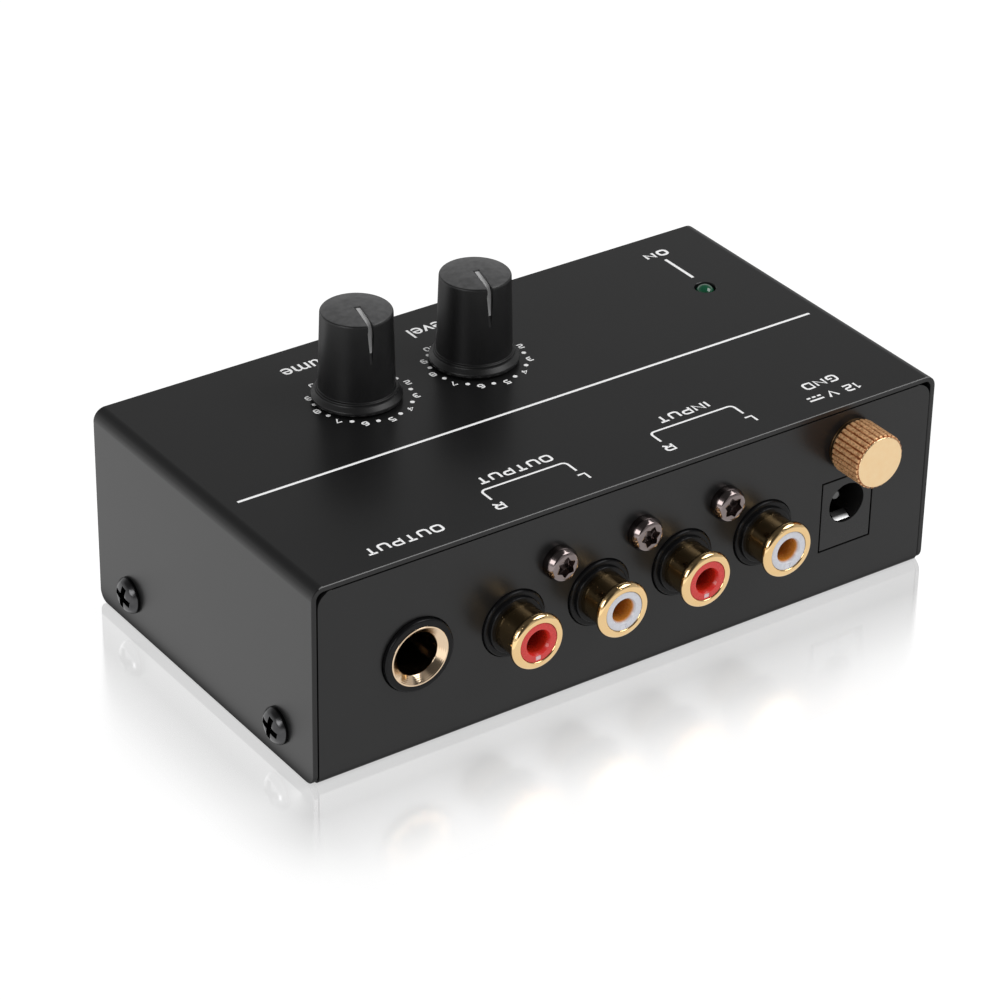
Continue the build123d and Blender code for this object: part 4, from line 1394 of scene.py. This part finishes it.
# ---------------------------------------------------------------- knobs
@dataclass
class Knob:
    """Tapered push-on knob with a skirt, and a grey pointer in its groove."""

    name: str
    body: Body
    height: float = 14.0 * MM
    dome: float = 0.55 * MM
    top_radius: float = 5.15 * MM
    base_radius: float = 5.5 * MM
    skirt_radius: float = 6.5 * MM
    ring_radius: float = 5.85 * MM
    ring_height: float = 1.6 * MM
    skirt_lip: float = 0.5 * MM
    skirt_height: float = 1.15 * MM
    socket_radius: float = 3.02 * MM
    socket_depth: float = 9.5 * MM
    hub_wall: float = 1.0 * MM
    hub_recess: float = 0.5 * MM
    hollow_radius: float = 4.4 * MM
    hollow_depth: float = 3.0 * MM
    pointer_turn: float = -10.5
    groove_width: float = 1.0 * MM
    groove_tip: float = 0.3 * MM
    groove_depth: float = 1.0 * MM
    groove_start: float = 0.1 * MM
    groove_start_depth: float = 0.3 * MM
    groove_length: float = 6.0 * MM
    inlay: float = 0.04 * MM
    strip_width: float = 0.66 * MM
    strip_thickness: float = 0.03 * MM
    strip_shift: float = 0.14 * MM
    strip_start: float = 0.12 * MM
    strip_end: float = 1.7 * MM

    def shell(self) -> Object:
        """The turned knob, open below for its shaft."""
        edge = self.height - self.dome
        hub = self.socket_radius + self.hub_wall
        return turned([
            Corner(0.0, self.socket_depth),
            Corner(self.socket_radius, self.socket_depth),
            Corner(self.socket_radius, self.hub_recess, 0.1 * MM),
            Corner(hub, self.hub_recess, 0.1 * MM),
            Corner(hub, self.hollow_depth),
            Corner(self.hollow_radius, self.hollow_depth),
            Corner(self.hollow_radius, 0.0, 0.1 * MM),
            Corner(self.skirt_radius, 0.0, 0.15 * MM),
            Corner(self.skirt_radius, self.skirt_lip, 0.3 * MM),
            Corner(self.ring_radius, self.skirt_height, 0.3 * MM),
            Corner(self.ring_radius, self.ring_height, 0.16 * MM),
            Corner(self.base_radius, self.ring_height, 0.12 * MM),
            Corner(self.top_radius, edge, 0.42 * MM),
            Corner(0.55 * self.top_radius, self.height - 0.1 * MM, 4.0 * MM),
            Corner(0.0, self.height),
        ], segments=128)

    def floor(self, lift: float = 0.0) -> list[Vector]:
        """Groove's floor from the axis to its tip, in the plane of y and z.

        Args:
            lift: how far the line stands above the floor.

        Returns:
            Points from the middle of the top to the tip.
        """
        edge = self.height - self.dome
        end = edge - self.groove_length
        tip = self.base_radius + (self.top_radius - self.base_radius) * end / edge
        return rounded([
            Corner(self.groove_start, self.height - self.groove_start_depth + lift),
            Corner(self.top_radius - self.groove_depth + lift, edge - 0.25 * MM + lift, 1.5 * MM),
            Corner(tip + lift, end),
        ], step=8.0)

    def taper(self, piece: Object, width: float, short: float = 0.0) -> Object:
        """Narrow a piece to the groove's tip and turn it to the pointer's direction.

        Args:
            piece: a mesh along the XZ plane that spans the groove's width along Y.
            width: its full width.
            short: how far before the groove's tip it ends.

        Returns:
            The same piece.
        """
        end = self.height - self.dome - self.groove_length + short
        narrow(piece, lambda place: place.z < end + 0.2 * MM, 1.0, self.groove_tip / width)
        return spun(piece, 90.0 + self.pointer_turn)

    def groove(self) -> Object:
        """Cutter for the pointer's groove."""
        points = self.floor()
        end = points[-1].y
        outside = 2 * self.skirt_radius
        above = self.height + 2 * MM
        points += [Vector((outside, end)), Vector((outside, above)), Vector((self.groove_start, above))]
        return self.taper(prism(points, self.groove_width), self.groove_width)

    def pointer(self) -> Object:
        """Thin grey strip along the groove's floor, nearer to its left wall."""
        width = self.strip_width
        line = self.floor(self.inlay)
        line[0] = Vector((self.groove_start + self.strip_start, line[0].y))
        tip = line[-1]
        line[-1] = tip + (line[-2] - tip).normalized() * self.strip_end
        piece = chain(line)
        with editing(piece, whole=True):
            bpy.ops.transform.translate(value=(0.0, self.strip_shift - width / 2, 0.0))
            extrude((0.0, width, 0.0))
            face_outwards()
        self.taper(piece, width, self.strip_end)
        apply_modifier(piece, "SOLIDIFY", thickness=self.strip_thickness, offset=0.0)
        return soften(piece)

    def build(self) -> None:
        """Make the knob and its pointer."""
        node = f"{self.name}_knob"
        low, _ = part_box(node)
        centre = middle(node)
        place = (centre.x, centre.y, low.z)
        knob = soften(cut(self.shell(), self.groove()), 0.07 * MM, angle=38)
        dress(seat(knob, place), f"{self.name}_knob_cap", KNOB, self.body, [node])
        dress(seat(self.pointer(), place), f"{self.name}_pointer", POINTER, self.body)


# ---------------------------------------------------------------- phono sockets
class Channel(Enum):
    """Colours of a phono socket's insulator: ring, painted shade of its hole, and key."""

    RED = ((0.62, 0.022, 0.018), (0.5, 0.02, 0.008), (0.72, 0.5, 0.52))
    # the white ring's hole colour is painted shade warmed by a painted reflection of the gold contact
    WHITE = ((0.62, 0.63, 0.68), (0.62, 0.24, 0.04), (0.7, 0.7, 0.75))


@dataclass
class PhonoSockets:
    """Gold barrels with rolled rims round coloured insulators."""

    sockets: tuple[tuple[str, Channel], ...] = (
        ("output_right", Channel.RED),
        ("output_left", Channel.WHITE),
        ("input_right", Channel.RED),
        ("input_left", Channel.WHITE),
    )
    back: float = -10.3 * MM
    radius: float = 3.6 * MM
    wall: float = 0.3 * MM
    rim: float = 4.22 * MM
    opening: float = 2.98 * MM
    rim_length: float = 1.1 * MM
    flare_start: float = 0.35 * MM
    flare_end: float = 0.1 * MM
    reach: float = 6.1 * MM
    recess: float = 0.15 * MM
    funnel: float = 2.0 * MM
    funnel_depth: float = 0.6 * MM
    bore: float = 1.7 * MM
    seat_radius: float = 1.92 * MM
    seat_mouth: float = 1.55 * MM
    notch_half: float = 0.43 * MM
    notch_start: float = 0.06 * MM
    notch_end: float = 0.72 * MM
    notch_depth: float = 0.1 * MM
    tail_half: float = 0.6 * MM
    tail_end: float = 9.7 * MM

    def barrel(self) -> Object:
        """Barrel and rim in one drawn piece, with its soldered tail."""
        shoulder = self.reach - self.rim_length
        inner = self.radius - self.wall
        piece = turned([
            Corner(self.radius, self.back),
            Corner(self.radius, shoulder - self.flare_start, 0.6 * MM),
            Corner(self.rim, shoulder + self.flare_end, 0.4 * MM),
            Corner(self.rim, self.reach, 0.8 * MM),
            Corner(self.opening, self.reach, 0.22 * MM),
            Corner(self.opening, shoulder),
            Corner(inner, shoulder),
            Corner(inner, self.back),
        ], ring=True, segments=128)
        half = self.tail_half
        tail = slab((-half, inner, self.back - half), (half, self.tail_end, self.back))
        return soften(join(piece, tail))

    def insert(self) -> Object:
        """Insulator with a funnel mouth and a key notch."""
        face = self.reach - self.recess
        outer = self.radius - self.wall - FIT
        neck = self.reach - self.rim_length - FIT
        piece = turned([
            Corner(outer, self.back),
            Corner(outer, neck),
            Corner(self.opening - FIT, neck),
            Corner(self.opening - FIT, face, 0.06 * MM),
            Corner(self.funnel, face, 0.12 * MM),
            Corner(self.bore, face - self.funnel_depth, 0.2 * MM),
            Corner(self.bore, self.seat_mouth),
            Corner(self.seat_radius, self.seat_mouth),
            Corner(self.seat_radius, self.back),
        ], ring=True)
        low = (-self.notch_half, self.funnel + self.notch_start, face - self.notch_depth)
        high = (self.notch_half, self.funnel + self.notch_end, self.reach + self.notch_half)
        return soften(cut(piece, slab(low, high)), 0.03 * MM)

    def fit(self, name: str, channel: Channel, barrel: Object, insert: Object) -> None:
        """Fit one socket with copies of the barrel and the insulator.

        Args:
            name: the socket's name.
            channel: the colours of its insulator.
            barrel: the barrel to copy.
            insert: the insulator to copy.
        """
        centre = middle(f"{name}_insert")
        place = (centre.x, REAR, centre.z)
        shell = seat(copied(barrel), place, Facing.REAR)
        dress(shell, f"{name}_barrel", GOLD, replaces=[f"{name}_shell"])
        finish = Insulator(
            f"{name}_insulator_plastic",
            f"{channel.name.lower()}_insulator",
            *channel.value,
            (centre.x, centre.z),
            REAR + self.reach - self.recess,
            self.funnel_depth,
            self.notch_half + FIT,
            self.funnel + 0.5 * self.notch_start,
            self.funnel + self.notch_end + 0.03 * MM,
        )
        plug = seat(copied(insert), place, Facing.REAR)
        dress(plug, f"{name}_insulator", finish, replaces=[f"{name}_insert"])
        dress_nodes(CONTACT, f"{name}_contact")

    def build(self) -> None:
        """Make the barrel and the insulator once, and fit the four sockets."""
        barrel, insert = self.barrel(), self.insert()
        for name, channel in self.sockets:
            self.fit(name, channel, barrel, insert)
        bpy.data.objects.remove(barrel)
        bpy.data.objects.remove(insert)


@dataclass
class RearPanelScrews:
    """Dark nickel button screws with a six-lobe recess."""

    height: float = 22.2 * MM
    places: tuple[float, ...] = (13.3 * MM, -0.9 * MM, -15.1 * MM)
    blank: ScrewBlank = ScrewBlank(
        radius=2.55 * MM,
        height=2.1 * MM,
        shank_radius=1.3 * MM,
        shank=7.0 * MM,
        tip=0.3 * MM,
        outline=(
            (1.0, 0.0, 0.1 * MM),
            (1.0, 0.55, 0.55 * MM),
            (0.84, 0.92, 0.45 * MM),
            (0.7, 1.0, 0.35 * MM),
        ),
    )
    recess: float = 1.6 * MM
    recess_depth: float = 1.2 * MM
    recess_waist: float = 0.7
    turns: tuple[float, ...] = (-8.0, -22.0, 12.0)

    def screw(self) -> Object:
        """One screw with a six-lobe recess."""
        piece = self.blank.turn()
        select_only()
        bpy.ops.mesh.primitive_cylinder_add(
            vertices=12,
            radius=self.recess,
            depth=2 * self.recess_depth,
            location=(0.0, 0.0, self.blank.height),
        )
        lobes = bpy.context.object
        half = math.radians(30.0)
        waist = self.recess_waist
        narrow(lobes, lambda place: round(math.atan2(place.x, place.y) / half) % 2 == 1, waist, waist)
        return soften(cut(piece, lobes), 0.05 * MM)

    def build(self) -> None:
        """Make one screw and fit three, each turned as its thread left it."""
        screw = self.screw()
        screws = []
        for x, turn in zip(self.places, self.turns):
            screws.append(seat(spun(copied(screw), turn), (x, REAR, self.height), Facing.REAR))
        bpy.data.objects.remove(screw)
        dress(join(*screws), "panel_button_screws", DARK_NICKEL, replaces=["panel_screws"])


# ---------------------------------------------------------------- jack, inlet and ground terminal
@dataclass
class OutputJack:
    """Large jack with a countersunk bushing in a black ring."""

    edge: float = 0.08 * MM
    outer: float = 4.5 * MM
    bore: float = 3.25 * MM
    mouth: float = 4.3 * MM
    mouth_z: float = 0.8 * MM
    sink: float = 0.85 * MM
    length: float = 6.5 * MM

    def build(self) -> None:
        """Make the body, the bushing and the contact leaves."""
        centre = middle("output_jack_bushing")
        dress_copy("output_jack_housing", "jack_body", BLACK_MOULDING, self.edge)
        back = self.mouth_z - self.length
        bushing = soften(turned([
            Corner(self.outer, back),
            Corner(self.outer, self.mouth_z, 0.06 * MM),
            Corner(self.mouth, self.mouth_z, 0.06 * MM),
            Corner(self.bore, self.mouth_z - self.sink, 0.12 * MM),
            Corner(self.bore, back),
        ], ring=True, segments=128))
        tones = ((0.92, 0.74, 0.52), (0.86, 0.62, 0.42))
        gold = TurnedPlate("bushing_gold", "gold_plate", *tones, 0.13, centre=(centre.x, centre.z))
        seat(bushing, (centre.x, REAR, centre.z), Facing.REAR)
        dress(bushing, "jack_bushing", gold, replaces=["output_jack_bushing"])
        for leaf in ("sleeve", "ring", "tip"):
            dress_copy(f"output_jack_{leaf}_spring", f"jack_{leaf}_leaf", BRIGHT_SPRING, 0.0)


@dataclass
class PowerInlet:
    """Barrel inlet flush with the rear panel."""

    edge: float = 0.16 * MM

    def build(self) -> None:
        """Make the moulding, the pin and the spring."""
        tones = ((0.8, 0.8, 0.8), (0.66, 0.66, 0.66))
        # the spring's painted shade darkens it inside the bore
        spring = DeepPlate("inlet_spring_plate", "contact_metal", *tones, 0.3)
        dress_copy("dc_inlet_housing", "inlet_body", INLET_MOULDING, self.edge)
        dress_copy("dc_inlet_pin", "inlet_pin", SHADED_INLET_PIN, 0.0)
        dress_copy("dc_inlet_spring", "inlet_leaf", spring, 0.0)


@dataclass
class GroundTerminal:
    """Stud, washer and knurled thumb nut."""

    radius: float = 4.15 * MM
    back: float = 0.8 * MM
    face: float = 6.6 * MM
    wall: float = 1.2 * MM
    bore: float = 2.0 * MM
    chamfer: float = 0.36 * MM
    back_chamfer: float = 0.14 * MM
    ridges: int = 30
    groove: float = 0.28 * MM
    washer_edge: float = 0.04 * MM
    stud_edge: float = 0.05 * MM

    def nut(self) -> Object:
        """Closed thumb nut with straight ridges."""
        front = self.radius - 0.9 * self.chamfer
        piece = turned([
            Corner(0.0, self.face - self.wall),
            Corner(self.bore, self.face - self.wall),
            Corner(self.bore, self.back, 0.1 * MM),
            Corner(self.radius - self.back_chamfer, self.back),
            Corner(self.radius, self.back + self.back_chamfer),
            Corner(self.radius, self.face - self.chamfer),
            Corner(front, self.face - 0.08 * MM),
            Corner(front - 0.08 * MM, self.face),
            Corner(0.0, self.face),
        ], segments=4 * self.ridges)
        self.knurl(piece)
        return soften(piece, 0.04 * MM, angle=30)

    def knurl(self, piece: Object) -> None:
        """Press the grooves in between the ridges of a turned nut that has four faces to a ridge."""
        quarter = math.pi / (2 * self.ridges)

        def in_groove(place: Vector) -> bool:
            """Whether a vertex of the knurled band lies in a groove."""
            outside = math.hypot(place.x, place.y) > self.radius - self.back_chamfer - SAME_POINT
            return outside and round(math.atan2(place.y, place.x) / quarter) % 4 == 0

        shrink = 1.0 - self.groove / self.radius
        narrow(piece, in_groove, shrink, shrink)

    def build(self) -> None:
        """Make the nut and dress what it clamps."""
        centre = middle("ground_thumb_nut")
        nut = seat(self.nut(), (centre.x, REAR, centre.z), Facing.REAR)
        brass = KnurledPlate(
            "thumb_nut_brass",
            "terminal_brass",
            (1.0, 0.76, 0.46),
            (0.97, 0.68, 0.37),
            0.3,
            1.0 * MM,
            0.3 * MM,
            centre=(centre.x, centre.z),
            ridge=self.radius,
            groove=self.groove,
        )
        dress(nut, "thumb_nut", brass, Body.NUT, ["ground_thumb_nut"])
        dress_copy("ground_washer", "clamp_washer", SHADED_BRASS, self.washer_edge, Body.CLAMP)
        dress_copy("ground_stud", "terminal_stud", SHADED_BRASS, self.stud_edge)
        dress_nodes(TINNED, "ground_lug")
        dress_nodes(ZINC, "ground_hex_nut")
        dress_nodes(WIRE, "ground_wire")


# ---------------------------------------------------------------- lamp and what the case holds
@dataclass
class Lamp:
    """Small round lamp that stands in its hole in the lid."""

    radius: float = 1.5 * MM
    flange: float = 1.9 * MM
    flange_height: float = 0.8 * MM
    length: float = 5.2 * MM

    def build(self) -> None:
        """Make the lens and dress its leads."""
        low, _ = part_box("power_lamp")
        centre = middle("power_lamp")
        lens = soften(turned([
            Corner(0.0, 0.0),
            Corner(self.flange, 0.0, 0.1 * MM),
            Corner(self.flange, self.flange_height, 0.1 * MM),
            Corner(self.radius, self.flange_height),
            Corner(self.radius, self.length, self.radius - 0.01 * MM),
            Corner(0.0, self.length),
        ], segments=64))
        dress(seat(lens, (centre.x, centre.y, low.z)), "lamp_lens", LENS, replaces=["power_lamp"])
        dress_nodes(TINNED, "power_lamp_leads")
        dress_nodes(PART_MOULDING, "power_lamp_spacer")


@dataclass
class Inside:
    """Board, housing and parts that the closed case hides."""

    edge: float = 0.08 * MM

    def build(self) -> None:
        """Dress the housing, the board and its parts."""
        dress_copy("phono_housing", "socket_block", BLACK_MOULDING, self.edge)
        dress_nodes(BOARD, "circuit_board")
        dress_nodes(ZINC, "board_standoffs", "board_screws", "volume_pot_bushing", "level_pot_bushing")
        dress_nodes(SHAFT, "volume_shaft", "level_shaft")
        dress_nodes(PART_MOULDING, "op_amps", "voltage_regulator", "volume_pot_body", "level_pot_body")
        dress_nodes(TINNED, "op_amp_leads", "volume_pot_terminals", "level_pot_terminals")
        dress_nodes(SLEEVE, "electrolytic_capacitors")
        dress_nodes(FILM, "film_capacitors")
        dress_nodes(RESISTOR, "resistors")
        dress_nodes(DIODE, "supply_diode")


# ---------------------------------------------------------------- studio
@dataclass(frozen=True)
class Softbox:
    """One rectangular lamp that looks at the object."""

    name: str
    place: tuple[float, float, float]
    size: Point2
    power: float

    def build(self) -> None:
        """Hang the lamp."""
        data = bpy.data.lights.new(self.name, "AREA")
        data.shape = "RECTANGLE"
        data.size, data.size_y = self.size
        data.energy = self.power
        lamp = in_scene(self.name, data)
        lamp.location = self.place
        lamp.rotation_euler = Vector(self.place).to_track_quat("Z", "Y").to_euler()


@dataclass
class Studio:
    """Pale floor, soft light and the camera.

    Attributes:
        eye: the camera's place.
        back: direction from the object to the camera.
        roll: the camera's turn about its own axis, in degrees.
        lens: focal length in millimetres.
        sensor: width of the sensor in millimetres.
        floor_size: length of the floor's sides.
        floor_drop: gap between the object and the floor.
        floor_fade: how the floor's mirror image weakens with distance, over mirror_fade.
        mirror: strength of the mirror image next to the object.
        mirror_fade: distance at which nothing of it is left.
        mirror_squeeze: how much faster it fades along X.
        side_loss: share of it that is missing beside the object.
        mirror_roughness: its roughness next to the object.
        mirror_blur: roughness that it gains with distance.
        mirrored_sky: level of the sky in it, which the floor's own glow makes up for.
        glow: level of the floor for the camera.
        shade: grey of the floor's part that takes shadow.
        bounce: grey of the floor for all other light.
        dome: level of the even light from all around.
        sky: levels of the sky in reflections, from the horizon up.
        card: level of a large pale card in front of the object, on its right.
        dark: directions, with cosines of edge and inside, of dark patches in reflections.
        hole: level of these patches.
        side_glow: level of the floor in reflections, on the object's right.
        rear_glow: the same behind it.
        far_glow: the same in front and on its left.
        side_fade: width of the step between them.
        mirrored_glow: the same in a reflection of a reflection.
        softboxes: the lamps.
    """

    eye: tuple[float, float, float] = (0.27827, 0.38882, 0.29947)
    back: tuple[float, float, float] = (0.4958, 0.7002, 0.5137)
    roll: float = 1.03
    lens: float = 140.5
    sensor: float = 36.0
    floor_size: float = 6.0
    floor_drop: float = 0.1 * MM
    floor_fade: tuple[Point2, ...] = (
        (0.0, 0.82),
        (0.15, 1.0),
        (0.34, 0.66),
        (0.44, 0.42),
        (0.54, 0.24),
        (0.82, 0.0),
    )
    mirror: float = 2.15
    mirror_fade: float = 38 * MM
    mirror_squeeze: float = 1.5
    side_loss: float = 0.36
    mirror_roughness: float = 0.03
    mirror_blur: float = 0.36
    mirrored_sky: float = 0.22
    glow: float = 0.94
    shade: float = 0.12
    bounce: float = 0.85
    dome: float = 0.6
    sky: tuple[Point2, ...] = (
        (0.0, 0.55),
        (0.3, 0.45),
        (0.454, 0.44),
        (0.515, 0.29),
        (0.535, 0.22),
        (0.64, 0.22),
        (0.8, 0.06),
        (1.0, 0.06),
    )
    card: float = 0.85
    dark: tuple[tuple[tuple[float, float, float], float, float], ...] = (
        ((0.42, 0.8, 0.43), 0.86, 0.95),
        ((-0.5, 0.7, 0.51), 0.95, 0.985),
    )
    hole: float = 0.02
    side_glow: float = 1.08
    rear_glow: float = 0.74
    far_glow: float = 0.2
    side_fade: float = 2 * MM
    mirrored_glow: float = 0.22
    softboxes: tuple[Softbox, ...] = (
        Softbox("overhead", (-0.62, 0.48, 0.95), (0.8, 0.62), 6.4),
        Softbox("right_key", (1.1, 0.35, 0.5), (0.6, 0.5), 3.4),
    )

    def camera(self) -> None:
        """Stand the camera, with its roll in degrees."""
        data = bpy.data.cameras.new("camera")
        data.lens = self.lens
        data.sensor_width = self.sensor
        data.clip_start = 0.01
        camera = in_scene("camera", data)
        camera.location = self.eye
        aim = Vector(self.back).to_track_quat("Z", "Y")
        roll = Quaternion((0.0, 0.0, 1.0), math.radians(self.roll))
        camera.rotation_euler = (aim @ roll).to_euler()
        bpy.context.scene.camera = camera

    def world(self) -> None:
        """White backdrop, even light, and a darker sky for reflections."""
        world = bpy.data.worlds.new("studio")
        world.use_nodes = True
        bpy.context.scene.world = world
        graph = Graph(world.node_tree)
        direction = graph.node("ShaderNodeTexCoord", output="Generated")
        x, y, z = (
            graph.node("ShaderNodeSeparateXYZ", None, {0: direction}, axis) for axis in ("X", "Y", "Z")
        )
        across = graph.ramp(x + 0.5, [(0.15, 0.0), (0.6, 1.0)], smooth=True)
        behind = graph.ramp(y + 0.5, [(0.3, 1.0), (0.8, 0.0)], smooth=True)
        low = graph.ramp(z, [(0.25, 1.0), (0.45, 0.0)], smooth=True)
        reflected = graph.mix(across * behind * low, graph.ramp(z, self.sky), self.card)
        # the room is dark on the camera's side and behind the rear panel's mirror image
        for towards, edge, inside in self.dark:
            facing = {0: direction, 1: towards}
            close = graph.node("ShaderNodeVectorMath", {"operation": "DOT_PRODUCT"}, facing, "Value")
            shade = graph.ramp(close, [(edge, 0.0), (inside, 0.9)], smooth=True)
            reflected = graph.mix(shade, reflected, self.hole)
        seen = graph.ray("Is Camera Ray")
        glossy = graph.ray("Is Glossy Ray")
        passed = graph.ray("Is Transmission Ray")
        level = graph.mix(glossy, self.dome, reflected)
        level = graph.mix(seen + passed, level, 1.0)
        backdrop = graph.node("ShaderNodeBackground", None, {"Color": level, "Strength": 1.0})
        graph.node("ShaderNodeOutputWorld", None, {"Surface": backdrop})

    def floor(self) -> None:
        """Lay the floor, which keeps the object's shadow and a faint mirror image."""
        select_only()
        bpy.ops.mesh.primitive_plane_add(size=self.floor_size)
        floor = seat(bpy.context.object, (0.0, 0.0, -self.floor_drop))
        floor.name = "floor"
        material = bpy.data.materials.new("floor_white")
        material.use_nodes = True
        graph = Graph(material.node_tree)
        low, high = cad_box
        x, y, _ = graph.axes()
        beyond_x, beyond_y = (
            graph.maths("MAXIMUM", abs(place) - half, 0.0) for place, half in ((x, high.x), (y, -low.y))
        )
        across = (self.mirror_squeeze * beyond_x) ** 2.0
        away = (across + beyond_y ** 2.0) ** 0.5
        near = self.mirror * graph.ramp(away / self.mirror_fade, self.floor_fade)
        near = near * (1.0 - self.side_loss * (across / (away * away)))
        camera_ray = graph.ray("Is Camera Ray")
        glossy_ray = graph.ray("Is Glossy Ray")
        beside, behind = (
            graph.ramp((place - edge) / self.side_fade, smooth=True)
            for place, edge in ((x, SIDE), (y, REAR))
        )
        reflected = graph.mix(behind, self.far_glow, self.rear_glow)
        reflected = graph.mix(beside, reflected, self.side_glow)
        # bright metal in the mirror image stays dim
        reflected = graph.mix(graph.ray("Glossy Depth") > 1.5, reflected, self.mirrored_glow)
        # the mirror adds the sky's level back wherever it doesn't show the object
        level = graph.mix(glossy_ray, self.glow - self.mirrored_sky * near, reflected)
        plain = graph.node("ShaderNodeBsdfDiffuse", None, {"Color": self.bounce})
        shaded = graph.node("ShaderNodeBsdfDiffuse", None, {"Color": self.shade})
        glow = graph.node("ShaderNodeEmission", None, {"Color": level, "Strength": 1.0})
        white = graph.node("ShaderNodeAddShader", None, {0: shaded, 1: glow})
        blur = self.mirror_roughness + self.mirror_blur * (away / self.mirror_fade)
        gloss = {"Color": near * camera_ray, "Roughness": blur}
        mirror = graph.node("ShaderNodeBsdfGlossy", None, gloss)
        seen = graph.node("ShaderNodeAddShader", None, {0: white, 1: mirror})
        surface = graph.node("ShaderNodeMixShader", None, {0: camera_ray + glossy_ray, 1: plain, 2: seen})
        graph.node("ShaderNodeOutputMaterial", None, {"Surface": surface})
        floor.data.materials.append(material)

    def build(self) -> None:
        """Set the whole studio."""
        bpy.context.scene.view_settings.view_transform = "Standard"
        self.camera()
        self.world()
        self.floor()
        for softbox in self.softboxes:
            softbox.build()


def main() -> None:
    """Build the preamp in its studio."""
    logging.basicConfig(level=logging.INFO, format="%(name)s: %(message)s")
    Case().build()
    Legend().build()
    for name, centre in (("Volume", (19.2 * MM, -10.76 * MM)), ("Level", (-0.2 * MM, -10.75 * MM))):
        Dial(name, centre).build()
    for name, body in (("volume", Body.VOLUME), ("level", Body.LEVEL)):
        Knob(name, body).build()
    rear = (PhonoSockets(), RearPanelScrews(), OutputJack(), PowerInlet(), GroundTerminal())
    for assembly in (*rear, Lamp(), Inside()):
        assembly.build()
    Studio().build()


if __name__ == "__main__":
    main()
